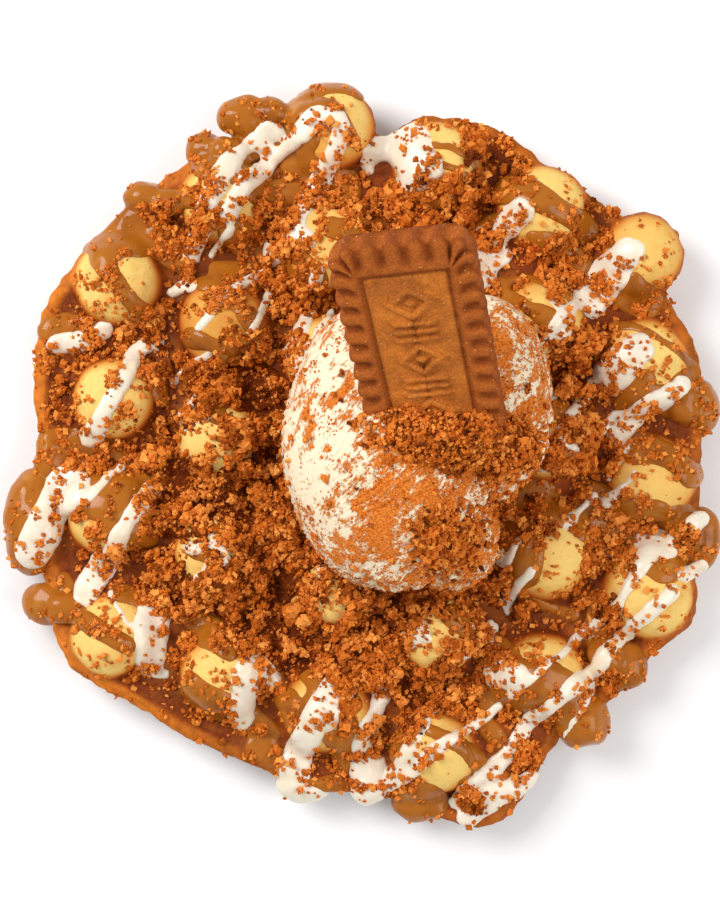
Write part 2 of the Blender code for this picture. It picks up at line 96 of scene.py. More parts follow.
SCOOP_BALLS = (
    ((7.0, 2.5, 28.0), (25.5, 35.0, 24.0)), ((28.0, 13.5, 26.0), (17.5, 25.0, 20.0)),
    ((22.0, -20.0, 25.0), (11.0, 13.0, 12.0)),
)
SCOOP_FOOT = 15.0
BISCUIT_CORNER = 6.0
BISCUIT_BORDER = 6.2
BISCUIT_TOP_END = Vector((7.4, 45.5, 80.0))
BISCUIT_DOWN = Vector((9.1, -34.9, -31.0)).normalized()
BISCUIT_ROLL = math.radians(14)

# What the scene adds to them, in millimetres: bubbles that baked a little aside, by their number, spots that
# are baked darker or paler, the necks that join the drips to the bands, and the crumbs heaped against the
# biscuit. A neck or a mound is its middle and its half sizes.
BUBBLE_NUDGES = {0: (1.2, 0.3), 3: (-0.3, -1.6), 26: (-2.8, -1.8), 27: (-1.9, -0.5), 29: (-1.7, 0.2)}
TOASTED = (
    ((-33.7, 33), 0.4), ((-8, 60), 0.16), ((45.5, 38.6), 0.14), ((40.5, -28.9), 0.12), ((73, -6), 0.15),
    ((-10, 72), 0.3), ((-60.5, 43), -0.3), ((-61.5, -45), -0.25), ((69, 50), 0.22), ((-61, 15), -0.12),
)
CARAMEL_NECKS = (
    ((-22.5, 84.5, 12.5), (5.0, 4.6, 4.0)), ((-33, 75, 12.5), (5.0, 4.2, 4.0)),
    ((-47, 62.5, 13.0), (5.0, 3.8, 3.5)), ((-73, -38.5, 11.5), (6.5, 4.0, 3.6)),
    ((80, 13, 12.5), (4.5, 5.5, 4.5)), ((80, -19.5, 12.5), (4.5, 6.0, 4.5)),
    ((61, -50, 12.0), (5.0, 5.0, 4.5)), ((51.5, -61.5, 13.0), (6.0, 6.0, 4.5)),
    ((15, -81, 12.0), (6.0, 5.0, 4.5)),
)
MOUNDS = (((17.5, 4.5, 45.0), (17.0, 8.5, 10.0)), ((32.5, 2.0, 42.0), (8.0, 6.5, 6.6)))

# The waffle's relief: the height of the fine rings along the web's edge, and the distance between them.
EDGE_RINGS = (0.42, 2.6)

# The sauces: how far one bridges hollows, how far it sinks into what it lies on, how much deeper its mesh
# reaches, the height and size of the swellings on its drips, the step along a band's path, and how many
# triangles it may have.
SAUCE_BRIDGE = 1.8
SAUCE_SINK = 0.4
SAUCE_BELOW = 1.3
DRIP_LUMPS = (0.45, 4.0)
PATH_STEP = 0.4
MOST_TRIANGLES = 190000

# The crumbs: how thickly they lie away from the heaps, what share stays in a clearing, how low one may lie,
# how their beds follow the waffle, the cube that a crumb's shape is made from, how many shapes there are of a
# kind, and how many crumbs there are in a chunk of 1 mm radius, on the mound and on the cream.
LEAST_COVER = 0.2
CLEARED_COVER = 0.12
LOWEST_CRUMB = 6.0
BED_BLUR = 2.6
BED_SINK = 1.2
BED_RISE = 4.4
BED_THIN = 0.7
SEEDLING_SIZE = 0.78
SHARDS_OF_A_KIND = 14
CHUNK_GRAINS = 13
MOUND_CRUMB_COUNT = 2200
CREAM_CRUMB_COUNT = 1500

# The biscuit: how many points go round it, how much wider its border is at the ends, and the ornament on its
# panel, which is three lozenges with bars between them.
RING_POINTS = 528
BORDER_MORE_AT_ENDS = 1.8
ORNAMENT_RISE = 0.9
LOZENGE_MIDDLES = (-15.5, 0.0, 15.5)
LOZENGE_HALF = (5.6, 4.4)
BAR_MIDDLES = (-7.75, 7.75)
BAR_OFFSETS = (-2.2, 0.0, 2.2)
BAR_HALF = 4.4

# Where the cream is dusted more than elsewhere, or less: the middle, the radius and how much more.
DUSTINGS = (
    ((14, -7), 13, 0.2), ((22, -22), 10, 0.36), ((4, -18), 8, 0.07), ((-11, 11), 5.5, 0.2),
    ((18, 5), 12, 0.2), ((-13.5, -5), 7.5, -0.36), ((-8, -18), 5, -0.2), ((5, -29), 3.2, -0.14),
    ((0, -20), 6.5, 0.12), ((-6.5, 2.5), 4.5, -0.2), ((-12, 24), 9, -0.14), ((-19, 8), 5, -0.22),
    ((20, -6.5), 2.4, -0.3), ((26.5, -14.5), 3, -0.34), ((37, 30), 9, 0.1), ((45, 4), 5, -0.12),
    ((40, 13), 6.5, 0.16), ((36, -8), 6, -0.08), ((1, -13), 4, 0.04),
)

# Where the sauces were poured and piped: the points of each band, and its width. Then the heaps of crumbs,
# with their radius and how fully they cover, and the largest crumbs, with their radius. All are given as
# they lie when looked at from straight above, from VIEW_HEIGHT over the web and over VIEW_MIDDLE.
VIEW_HEIGHT = 400.0
VIEW_MIDDLE = (-0.705, 1.095)
CARAMEL_STROKES = (
    (((-27, 84), (-20, 84.5), (-14, 85)), 7), (((-34, 57), (-28, 53), (-23, 49)), 8),
    (((-38, 46), (-32, 45.5), (-26, 43)), 6), (((-23, 66), (-16, 66), (-10, 67), (-3, 66)), 8),
    (((-19, 72.5), (-12, 72)), 5.5), (((-10, 57), (-4, 56), (2, 57)), 7),
    (((-20, 50), (-15, 46), (-11, 42)), 8), (((-44, 30), (-38, 27.5), (-31, 26)), 5),
    (((-30, 36), (-26, 30), (-24, 24)), 6), (((-57, 22), (-52, 19), (-50, 13)), 5),
    (((-46, 1), (-50, -3), (-56, -5)), 6), (((-44, 19), (-38, 16), (-33, 13)), 6),
    (((-60, -8), (-56, -14), (-55, -20)), 7), (((-45, -38), (-41, -42), (-36, -44)), 6),
    (((-27, -48), (-23, -53), (-22, -58)), 6), (((-44, -57), (-38, -61.5), (-30, -65), (-23, -71)), 6),
    (((-14, -54), (-11, -58), (-13, -66)), 6), (((-4, -66), (-3, -72), (-5, -78)), 6),
    (((22, -58), (27, -60), (32, -62)), 6), (((31, -45.5), (35, -48.5), (38.5, -51)), 6),
    (((57.5, -37), (57.5, -41), (57, -44)), 4), (((57, -14), (62, -16.5), (69, -17)), 7),
    (((44, 14), (49, 11), (55, 9)), 6), (((40, 8), (44, 3), (47, -3)), 6),
    (((27, 37), (31, 41), (36, 42)), 5), (((42, 55), (48, 50), (55, 46)), 6),
    (((26, 50), (31, 56), (36, 58)), 6), (((16.3, 77.2), (22, 76.7), (27.1, 73.8), (29.4, 69.3)), 2.8),
    (((18, 73.2), (23.7, 71.5), (28.3, 67.6)), 2.6), (((12, 62), (18, 64), (25, 61)), 6),
    (((67, 44), (70, 41), (73, 38)), 5), (((-35, 83), (-29.5, 84), (-23, 84), (-15.5, 86.5)), 7),
    (((-17, 87.5), (-11, 91), (-4.5, 91.5), (0.5, 89)), 3.4),
    (((-15, 85.5), (-8.5, 87), (-5, 83), (-1.5, 77.5)), 4),
    (((-40.5, 73.5), (-33, 77), (-22, 78.5), (-13, 79.5)), 7.5),
    (((-41, 72.5), (-35, 71.5), (-29, 68.5), (-23.5, 62), (-20, 54.5)), 7),
    (((-53, 64), (-45.5, 64), (-39, 63), (-34, 60.5)), 5.6),
    (((-67.5, 52), (-62.5, 55.5), (-57.5, 56.5), (-52, 53.5)), 15),
    (((-66.2, 49.4), (-60.4, 41.2), (-53.7, 33.4)), 6), (((-52, 56.5), (-47.5, 54), (-42, 50)), 6),
    (((-79.5, 30.5), (-74, 31.5), (-67, 29.5)), 8), (((-41, 42), (-36.5, 43), (-31, 40.5)), 4),
    (((-39, 38.5), (-31.5, 37), (-25, 33)), 3.4), (((-53, 54), (-48, 48.5), (-43, 46)), 5),
    (((-80.5, -1), (-75, 0.5), (-67.5, -2), (-60.5, -4.5), (-53, -8)), 12),
    (((-84.5, -8), (-84.5, -16.5), (-82, -24.5)), 15), (((-75, -11.5), (-68, -11.5), (-61, -13.5)), 8),
    (((-64.5, -19), (-58, -20.5), (-52.5, -21.5)), 5),
    (((-76, -38), (-69.5, -41.5), (-64, -45), (-58, -48.5)), 4.8),
    (((-75.5, -30), (-73.5, -34), (-72.5, -37.5)), 4.4),
    (((-62.5, -34.5), (-57.5, -35.5), (-52.5, -37.5)), 5.4),
    (((-40.5, -45), (-36.5, -47), (-32.5, -50.5)), 6.4), (((-28, -72.5), (-23.5, -74.5), (-19.5, -78)), 6),
    (((-19.5, -60), (-17.5, -64.5), (-16.5, -70)), 5.4), (((-9, -69.5), (-6.5, -72.5), (-4.5, -75.5)), 5.2),
    (((-15.5, -83), (-11, -84), (-6.5, -83)), 6), (((16, -68.5), (21, -71), (25.5, -74), (30, -78)), 4.6),
    (((21, -62), (26.5, -64.5), (31, -68), (34.5, -72.5)), 5.4),
    (((9, -79.5), (13, -84.5), (19.5, -88)), 10), (((10.5, -70.5), (9, -76.5)), 5),
    (((30.5, -52.5), (36.5, -56), (43.5, -60.5)), 13.5),
    (((43, -55.5), (48, -58.5), (53, -62.5), (56, -67)), 10.5),
    (((31.5, 64), (37, 64.5), (42.5, 63.5), (52, 59.5), (57.5, 55)), 5.2),
    (((44, 54), (49.5, 52.5), (52, 51), (55.5, 47.5)), 5.8),
    (((33.4, 66.4), (36.8, 68.2), (41.9, 67.6), (48.2, 64.2), (50.4, 61.9)), 3),
    (((36, 43.5), (40.5, 44), (44.5, 43), (52, 38.5)), 2.6),
    (((33.5, 39.5), (38, 38.5), (42.5, 36), (49, 33)), 4.4), (((34.5, 34), (40.5, 29.5), (44.5, 26.5)), 6),
    (((62.5, 41), (68, 39.5), (73, 37.5)), 9),
    (((62.5, 32), (68.5, 31.5), (73.5, 29.5), (80.5, 24), (84, 20.5)), 2.8),
    (((72, 20.5), (69.5, 17.5), (67, 14.5)), 5.6), (((64, 12.5), (69.5, 14.5), (76.5, 15.5)), 6),
    (((78.5, 18.5), (82.5, 15.5), (85.5, 11.5)), 9), (((74.5, 12), (78.5, 10.5), (82, 9)), 5),
    (((66.5, 1.5), (72, 1), (78.5, -2), (83.5, -6.5)), 8),
    (((55, -9), (60, -11), (65, -13), (75.5, -14.5)), 6.4), (((57, 8.5), (53, 2), (49.5, -4)), 7),
    (((35, -14.5), (40.5, -13), (47.5, -14.5)), 11), (((34.5, -21.5), (38, -26.5), (37.5, -33)), 8),
    (((48.5, -14), (53, -16.5), (57, -20)), 7.5), (((43, -18.5), (42.5, -24.5), (41, -32)), 6),
    (((59, -23.5), (66, -23.5), (72.5, -25.5), (77.5, -29)), 10),
    (((76.5, -16), (81, -19), (84.5, -23.5)), 11), (((57.5, -45.5), (61.5, -47.5), (66, -51.5)), 7),
    (((39.5, -37), (46.5, -38), (54, -40.5)), 3), (((16.3, 69.8), (22, 68.1), (26.6, 64.7)), 2.6),
    (((6.5, 67.5), (10.5, 64.5), (15.5, 62)), 6), (((-11, 64.5), (-5.5, 66), (-1.5, 64)), 5),
    (((21.5, -39.5), (26, -43.5), (29.5, -49)), 6), (((-44.5, 9), (-40.5, 11), (-35, 8.5)), 5),
    (((-43, -23.5), (-37, -25.5), (-31.5, -29.5)), 5.4), (((-14, -41), (-9, -45)), 4),
    (((25, -83), (30, -84.5), (36, -81.5)), 6), (((-15.5, 76), (-11.5, 72), (-9, 69.5)), 4.4),
)

ICING_STROKES = (
    (((12, 80), (13, 74), (14, 67)), 8), (((4, 77), (9, 79)), 5.5), (((16.5, 75), (18, 70)), 4.4),
    (((-23, 50), (-18, 54), (-13, 53)), 6), (((-12, 39), (-15, 32), (-19, 25)), 3.6),
    (((-8, 36), (-11, 28), (-14, 22)), 2.6), (((-11, 47), (-12, 42)), 3), (((-16, 22), (-18, 14)), 2.4),
    (((-48, 18), (-43, 22), (-38, 25)), 2.4), (((-46, 8), (-41, 13), (-34, 17)), 2.6),
    (((-45, 5), (-38, 9)), 2), (((-49, -12), (-43, -10), (-38, -6)), 2.2),
    (((-42, -18), (-37, -21), (-33, -27)), 2.4), (((-45, -36), (-41, -32), (-38, -26)), 2.6),
    (((-24, -52), (-22, -57)), 4), (((33, -34), (36, -28), (40, -20)), 2.6),
    (((36, -40), (33, -31), (35, -24)), 2.2), (((44, -4), (49, 2), (54, 10)), 3),
    (((46, 12), (50, 17), (55, 20)), 2.6), (((62, 3), (65, 8), (70, 12)), 4), (((57, 24), (60, 30)), 3),
    (((54, -14), (58, -10)), 2.6), (((60, -12), (65, -9), (68, -4)), 2.2), (((13, -42), (17, -46)), 3),
    (((27, -42), (31, -46)), 2.2), (((24, -51), (30, -47), (32, -41)), 2),
    (((47, 40), (51, 35), (49, 29)), 3.4), (((29, 43), (33, 47), (36, 50)), 4),
    (((-39.8, 60.5), (-37.4, 66), (-33.8, 72), (-29, 77), (-24, 80.3), (-20.5, 81)), 4.2),
    (((-43.5, 48), (-41.5, 53.5), (-39.5, 58)), 4),
    (((-34.5, 58.5), (-31.5, 64.5), (-27.6, 69.2), (-24, 71.5), (-20.5, 75), (-16, 80)), 4.4),
    (((-16, 80), (-12.5, 83.3), (-9, 84.3), (-6, 83), (-6.3, 77.5), (-9, 72), (-12, 66), (-15.3, 60),
      (-19, 52)), 4.8), (((-38, 48.5), (-35.5, 53), (-33, 57)), 2.6),
    (((-27, 77.5), (-24, 75.5), (-21.5, 75)), 3.6), (((-23, 49), (-20, 54), (-16, 58)), 6),
    (((-48, 40), (-45, 41.5), (-42, 42.5)), 3.6), (((-41, 31.5), (-37.5, 37), (-33, 41), (-23.5, 46)), 2.6),
    (((-28, 29.5), (-25.5, 35.5), (-23.5, 41)), 2.6),
    (((-78, 28), (-73.5, 28), (-69.5, 28.5), (-63, 32)), 6), (((-59, 24), (-54, 27), (-50, 29)), 2.6),
    (((-68.5, 3), (-66, 8), (-62.8, 14.5), (-59.5, 20.5), (-56, 26), (-51.5, 29)), 4.6),
    (((-84, -26.5), (-81, -21), (-78, -15), (-72.5, -5.5)), 9),
    (((-69, -12), (-64.5, -6.5), (-59.5, -2)), 3.2), (((-70.5, -36.5), (-67.5, -31.5), (-63, -25)), 8.8),
    (((-66, -30), (-61.5, -22), (-57, -15), (-52.5, -8)), 4.8),
    (((-52.3, -36), (-53, -43.5), (-53, -53)), 10.4), (((-55, -52.5), (-51.5, -55), (-47.5, -55)), 3),
    (((-63, -34.5), (-60, -40.5), (-56, -44)), 2), (((-44.5, -22.5), (-39.5, -23.5), (-34, -25)), 3.6),
    (((-44, -34), (-39.5, -31), (-35, -26.5)), 3.8),
    (((-27, -51.5), (-29, -57), (-30.5, -63), (-30, -67)), 7.4),
    (((-5, -57), (-10, -64.5), (-15, -72), (-17.5, -81)), 7.6), (((-5, -57), (0, -55.5), (5.5, -57)), 4.6),
    (((5, -57), (3, -64.5), (0, -72.5), (-1, -79), (0, -83)), 5), (((1, -77.5), (1.5, -82)), 7.6),
    (((6, -84), (10, -76), (14, -69), (16.5, -63)), 3.6), (((16.5, -62.5), (20.5, -61.5)), 4.6),
    (((6.5, -84), (15, -77), (21.5, -71.5), (29, -66.5), (34.5, -62.5)), 3.4),
    (((22.5, -87.5), (25.5, -84), (32, -79), (38, -72.5), (41.5, -67), (48.5, -61.5), (55, -56),
      (60, -50.5), (65, -45.5), (70.5, -41), (78.5, -34)), 4.2),
    (((25, -92), (32, -86.5), (39, -83), (43.5, -80)), 5.4),
    (((49.5, -71), (54.5, -63.5), (57.5, -56.5)), 1.9), (((31, -53.5), (35.5, -54.5), (40.5, -55.5)), 7),
    (((37, -60), (43, -55.5), (48.5, -50.5), (59, -41.5)), 2.4),
    (((41.5, 62), (38, 59.5), (35, 54.5)), 8.4), (((35, 54.5), (31.5, 51), (29.5, 46)), 4.6),
    (((55.5, 37), (59.5, 42.5), (64, 48), (68.5, 53)), 8.4), (((43.5, 27), (49, 34), (55.5, 39.5)), 3.4),
    (((48.5, 22), (52, 26), (54.5, 29.5)), 2.4), (((59, 15.5), (63.5, 21), (68, 25.5), (71.5, 27.5)), 9),
    (((48.5, 2.5), (52, 8.5), (58, 17.5)), 4.2), (((63.5, 4.5), (69.5, 10.5), (76, 15), (80.5, 18)), 4.8),
    (((52, 0.5), (58, 6), (67, 11)), 2.8), (((60, -6.5), (63, -2), (66.5, 3.5)), 2.8),
    (((60.5, -12.5), (65, -8)), 3.8), (((62.5, -41.5), (66, -34), (69.5, -28), (72, -24)), 4.4),
    (((69.8, -22), (73.5, -22.3), (77, -24.3)), 8), (((60, -39.5), (63, -37.5)), 2.2),
    (((83.5, -17), (84.5, -16)), 4.4), (((79.5, -31), (82.5, -29), (85.5, -27)), 3),
    (((35, -38), (38.5, -33), (42, -28.5)), 3.4), (((51.5, -17), (52.5, -15.5)), 3.4),
    (((31, -47.5), (33, -42.5)), 2.8), (((2, 75), (6, 76), (9.5, 75.5), (13.5, 76.5)), 5),
    (((9, 75), (12.5, 70.5), (11.5, 65.5)), 7), (((1, 73.5), (2.5, 69.5)), 3),
    (((-15.5, 23), (-12.5, 27.5), (-8.5, 34)), 3), (((14.5, -43.5), (11.5, -46.5)), 5),
    (((-8, -26.5), (-11, -30)), 3.4),
)

HEAPS = (
    ((-32, -11.5), 18, 1), ((-40.5, 0.5), 10.5, 0.95), ((-23, 0.5), 11, 1), ((-28, -26.5), 15.5, 1),
    ((-15.5, -39.5), 15.5, 1), ((-0.5, -47.5), 11.5, 0.95), ((14.5, -52.5), 11, 0.9),
    ((-37.5, 17.5), 6.5, 0.9), ((-27.5, 16.5), 7, 0.9), ((-48, -34.5), 7.5, 0.9), ((-15.5, -26.5), 12.5, 1),
    ((-19.5, 13.5), 5, 0.8), ((-45.5, -14), 7.5, 0.9), ((-23, 50.5), 4.5, 0.9), ((-49.5, 27.5), 6, 0.8),
    ((-22, 60.5), 5.5, 0.8), ((-17.5, 38.5), 5, 0.85), ((4.5, 60), 6.5, 0.9), ((17, 60.5), 8.5, 0.95),
    ((25, 64.5), 7, 0.85), ((32, 53.5), 4, 0.7), ((49.5, 46.5), 6, 0.9), ((39.5, 51), 4.5, 0.7),
    ((57.5, 27.5), 5, 0.9), ((50, 20.5), 7, 0.95), ((59.5, 53.5), 3, 0.8), ((61, 33), 3.5, 0.8),
    ((57, 6), 5, 0.8), ((60.5, 0), 4, 0.8), ((53, -9), 4, 0.8), ((57, -26.5), 4.5, 0.9),
    ((56, -34), 5.5, 0.9), ((60.5, -37.5), 4, 0.8), ((32, -32.5), 5.5, 0.9), ((35, -16.5), 4.5, 0.95),
    ((29.5, -46.5), 5, 0.85), ((37.5, -65.5), 2, 0.9), ((24.5, -59.5), 6, 0.85), ((10.5, -67), 5, 0.9),
    ((4.5, -69), 3.5, 0.9), ((-3, -62.5), 3.5, 0.6), ((-15.5, -50), 6.5, 0.95), ((-25, -46.5), 6, 0.95),
    ((-50.5, -26.5), 4, 0.8), ((-61.5, -26.5), 3, 0.7), ((-53, 8), 5, 0.8), ((-48, 13), 5, 0.8),
    ((-60.5, 0.5), 3, 0.8), ((42, -16.5), 6.5, 0.75), ((14, 66.5), 6, 0.6), ((-7, 62.5), 7.5, 0.5),
    ((44.5, 34), 7.5, 0.5), ((-44.5, 55.5), 4, 0.6), ((-50.5, 60.5), 3, 0.5), ((-15.5, 76), 3, 0.4),
    ((-39.5, 57.5), 3.5, 0.6), ((-32.5, 54.5), 4, 0.55), ((-28, 31), 6, 0.45), ((-37, 38.5), 4, 0.3),
    ((-65.5, 31), 6, 0.35), ((-60.5, -11.5), 6.5, 0.5), ((-68, -4), 3.5, 0.5), ((-75.5, -14.5), 3.5, 0.3),
    ((-60.5, -50), 3, 0.3), ((-39.5, -26.5), 7.5, 0.75), ((17, -46.5), 8.5, 0.65), ((-8, -35.5), 8.5, 0.75),
    ((64.5, -26.5), 6, 0.45), ((82, -21.5), 4, 0.6), ((69.5, 38.5), 4, 0.35), ((62.5, 46), 5.5, 0.4),
    ((58.5, 13.5), 5, 0.6), ((69.5, -11.5), 6.5, 0.35), ((37.5, -6.5), 3, 0.6), ((49.5, 3.5), 6, 0.6),
    ((44.5, -76.5), 2.5, 0.7), ((42, -75.5), 3.5, 0.7), ((27, -85.5), 3.5, 0.9), ((39.5, -80), 2.5, 0.4),
    ((79.5, 3.5), 2.5, 0.3), ((59.5, -65.5), 2, 0.2), ((49.5, -61.5), 3, 0.2), ((-30.5, -73.5), 5, 0.5),
    ((-43, -59), 4, 0.3), ((-3, 73.5), 4, 0.4), ((55.5, 50), 2.5, 0.6), ((34.5, 63.5), 2.5, 0.4),
    ((8, 78.5), 2.5, 0.3), ((-75.5, 16), 2, 0.1), ((62, -46.5), 4.5, 0.5), ((34.5, -51.5), 4.5, 0.35),
    ((-8, -61.5), 4.5, 0.25), ((32, 75), 6, 0.65), ((38, 72), 4, 0.65), ((60, 61), 4, 0.75),
    ((26, 80), 5, 0.5), ((18, -37.5), 7, 0.95), ((25, -41.5), 6, 0.9), ((4, -37.5), 6, 0.95),
    ((11.5, -39), 6, 0.95), ((-66, 28), 4, 0.75), ((-60, 29.5), 3.5, 0.7), ((-77, 15), 3, 0.6),
    ((-76.5, 8), 2.5, 0.5), ((-56.5, 8), 4, 0.75), ((-52, 18), 4.5, 0.7), ((-64, -1), 3.5, 0.75),
    ((-53, -1.5), 3.5, 0.7), ((57, -4), 5, 0.85), ((52, -8.5), 4, 0.8), ((47.5, -2), 3, 0.7),
    ((61, -7), 3.5, 0.6), ((70, -18.5), 3.5, 0.85), ((63, -19), 4, 0.8), ((76, -19), 2.5, 0.5),
    ((40, -20), 4, 0.6), ((-78, 24), 2.5, 0.5), ((-70, 24.5), 3, 0.6), ((-33, -46.5), 3, 0.6),
    ((41, -40), 4, 0.75), ((36, -38), 3, 0.6), ((63, -58), 3.5, 0.8), ((-45.5, 36), 3.5, 0.8),
    ((-46, 30), 3.5, 0.8), ((-44, 42), 3, 0.6), ((-22, 44), 3.5, 0.8), ((-19, 36), 4, 0.85),
    ((-39, 26), 2.5, 0.5), ((-29, 22), 4, 0.7), ((-36, 28), 3, 0.5), ((-14, 38), 4, 0.8),
    ((-48, 22), 3.5, 0.7), ((84.5, 4), 2.5, 0.5), ((85, -3), 2, 0.5),
)

CHUNKS = (
    ((-16.5, -39), 3.8), ((-43, -46.5), 3.8), ((-49.5, -44), 2), ((-52, -53), 1.8), ((57, 27.5), 3.8),
    ((35.5, -65), 2.2), ((3, -74), 2.2), ((27, -84), 2.5), ((25, -86.5), 2), ((-24.5, -9), 3),
    ((-67, -19), 2), ((-69.5, -25), 1.8), ((82, -20), 1.5), ((-70, -15.5), 2), ((-44, 53.5), 1.5),
    ((-37.5, 58), 1.5), ((-35, 59.5), 1.2), ((39.5, -34), 1.5), ((-1.5, -74.5), 1.8), ((55.5, 36), 1.5),
    ((-26, -4), 2), ((-30.5, 0), 2.2), ((-19.5, -6.5), 2), ((49.5, -34.5), 1.5), ((-28.5, 4), 2),
    ((-72, -2.4), 2.6), ((-76, -15.4), 1.7), ((-66.2, -19.4), 1.9), ((-64, -30.2), 1.5),
    ((-68, -11.4), 1.4), ((-60.7, -43.9), 1.2), ((-22.5, -53.4), 1.5), ((-33.2, -62.7), 1.3),
    ((-25.5, -68.2), 2.4), ((0, -82.7), 1.5), ((16.5, -63.9), 1.6), ((-15.5, -83.2), 1),
    ((-11.5, -72.4), 1.1), ((-13.7, -66.7), 1.2), ((58.3, 42.6), 2.6), ((60.5, 48.8), 1.2),
    ((62.8, 29.6), 1.2), ((67.3, 19.8), 1.5), ((55.3, -52.4), 1.2), ((61, -43.2), 1.6), ((73, -25.9), 1.1),
    ((73.5, -42.7), 1.1), ((68.8, -18.7), 1.6), ((65, -9.7), 2), ((62.5, -11.9), 1.6), ((56.8, -19.2), 2.2),
    ((53.5, -37.4), 2.4), ((40, -75.4), 2.4), ((-6.7, 84.3), 1.7), ((-38.5, 55.3), 2.3), ((-49.2, 59.3), 2),
    ((-47, 53.1), 1.7), ((-58.2, 49.8), 1.7), ((-29.5, 61.6), 1.9), ((-21.5, 56.1), 2),
    ((-66.2, 28.1), 2.2), ((-43.5, 45.8), 2.1), ((-53.2, 34.8), 2.2), ((-45.2, 24.1), 2.4),
    ((-16.2, 48.6), 1.8),
)

# Where what lies under the crumbs shows through them: the middle and the radius.
CLEARINGS = (
    ((15.6, -47.6), 6.5), ((-7.4, -39), 3.8), ((-43.5, 2), 3), ((-41.5, -28), 2.6), ((-13, -57), 3),
    ((64, 48), 4.5), ((66, 23.5), 5), ((76, 14), 3.5), ((10, 74.5), 6), ((-53.2, -45), 7.5),
    ((71.5, -24), 4), ((-67.5, -31.5), 4), ((-30, -60), 4), ((48.5, -47), 5), ((50.5, -28), 5),
    ((-59, -20), 3), ((46, 61.5), 7), ((-59, 54), 6),
)

# A plan of the waffle seen from above, in millimetres: one place every PLAN_STEP.
PLAN_STEP = 0.5
PLAN_X, PLAN_Y = np.meshgrid(np.arange(-95, 95.01, PLAN_STEP), np.arange(-98, 98.01, PLAN_STEP),
                             indexing="ij")
NOWHERE = -1000.0
DOWN = Vector((0, 0, -1))
DROP_FROM = 100.0
LUMP_TABLE = 40

# The heights of the finished pieces' tops, by their names, so that each is measured once.
HEIGHTS = {}


def shade(red, green, blue):
    """A colour given as on a screen, 0 to 255, in Blender's linear values."""
    values = (channel / 255 for channel in (red, green, blue))
    return tuple(v / 12.92 if v <= 0.04045 else ((v + 0.055) / 1.055) ** 2.4 for v in values)


# ---------------------------------------------------------------- sizes and colours that a user would change


def length(name, description, default):
    return bpy.props.FloatProperty(name=name, description=description, default=default, min=0.0,
                                   subtype="DISTANCE", unit="LENGTH", precision=5)


def power(name, description, default):
    return bpy.props.FloatProperty(name=name, description=description, default=default, min=0.0,
                                   subtype="POWER", unit="POWER")


def number(name, description, default):
    return bpy.props.IntProperty(name=name, description=description, default=default, min=0)


def colour(name, description, default):
    return bpy.props.FloatVectorProperty(name=name, description=description, default=default, size=3,
                                         min=0.0, max=1.0, subtype="COLOR")


class WaffleSettings(bpy.types.PropertyGroup):
    bubble_radius: length("Bubble radius", "Radius of a bubble where it leaves the web", 11.4 * MM)
    dome_height: length("Dome height", "Height of a dome above the web's middle", 10.6 * MM)
    grain: length("Surface grain", "Size of the cells that the waffle is fused from", 0.95 * MM)
    unevenness: length("Unevenness", "How far the batter swells and sinks", 0.28 * MM)
    # The web colour is the well baked web's brown made darker, so that it also paints the shade in the
    # valleys between the bubbles.
    web_and_valley_shade_colour: colour("Web", "Colour of the thin, well baked web", shade(122, 52, 14))
    tan_colour: colour("Tan", "Colour of a dome's foot", shade(200, 114, 38))
    gold_colour: colour("Gold", "Colour of a dome's side", shade(228, 168, 78))
    pale_colour: colour("Pale", "Colour of a dome's top", shade(242, 204, 116))
    rim_colour: colour("Rim", "Colour of the raised lip round the edge", shade(218, 122, 35))


class SauceSettings(bpy.types.PropertyGroup):
    caramel_depth: length("Caramel depth", "Thickness of the caramel in the middle of a band", 1.35 * MM)
    icing_depth: length("Icing depth", "Thickness of the icing in the middle of a rope", 1.5 * MM)
    grain: length("Surface grain", "Size of the cells that the sauces are fused from", 0.55 * MM)
    caramel_colour: colour("Caramel", "Colour of most of the caramel", shade(171, 100, 26))
    caramel_dark: colour("Dark caramel", "Colour of the caramel where it has browned", shade(134, 70, 16))
    caramel_light: colour("Light caramel", "Colour of the caramel mixed with cream", shade(192, 127, 52))
    icing_colour: colour("Icing", "Colour of the icing", shade(238, 227, 206))


class CrumbSettings(bpy.types.PropertyGroup):
    fine_count: number("Fine crumbs", "How many of the finest crumbs are strewn", 16500)
    coarse_count: number("Coarse crumbs", "How many clumps of crumbs are strewn on the heaps", 700)
    medium_count: number("Medium crumbs", "How many craggy crumbs are strewn", 4600)
    fine_size: length("Fine size", "Middle diameter of the finest crumbs", 0.95 * MM)
    coarse_size: length("Coarse size", "Middle diameter of the clumps", 2.9 * MM)
    medium_size: length("Medium size", "Middle diameter of the craggy crumbs", 1.65 * MM)
    # The darkest crumb colour is also the painted shade in the crumb bed's gaps and among the heaped crumbs.
    dark_crumb_and_shade_colour: colour("Dark crumb", "Colour of the darkest crumbs", shade(94, 35, 7))
    middle_colour: colour("Crumb", "Colour of most crumbs", shade(213, 112, 34))
    light_colour: colour("Light crumb", "Colour of the lightest crumbs", shade(246, 164, 76))


class CreamSettings(bpy.types.PropertyGroup):
    grain: length("Surface grain", "Size of the cells that the cream is fused from", 0.55 * MM)
    ridge_pitch: length("Ridge pitch", "Distance between the scoop's fine drag lines", 1.7 * MM)
    ridge_depth: length("Ridge depth", "Depth of the scoop's fine drag lines", 0.28 * MM)
    cream_colour: colour("Cream", "Colour of the cream", shade(244, 227, 194))
    dust_colour: colour("Dust", "Colour of the finest biscuit dust on the cream", shade(224, 119, 26))
    dust_count: number("Dust grains", "How many grains of dust are strewn on the cream", 7000)


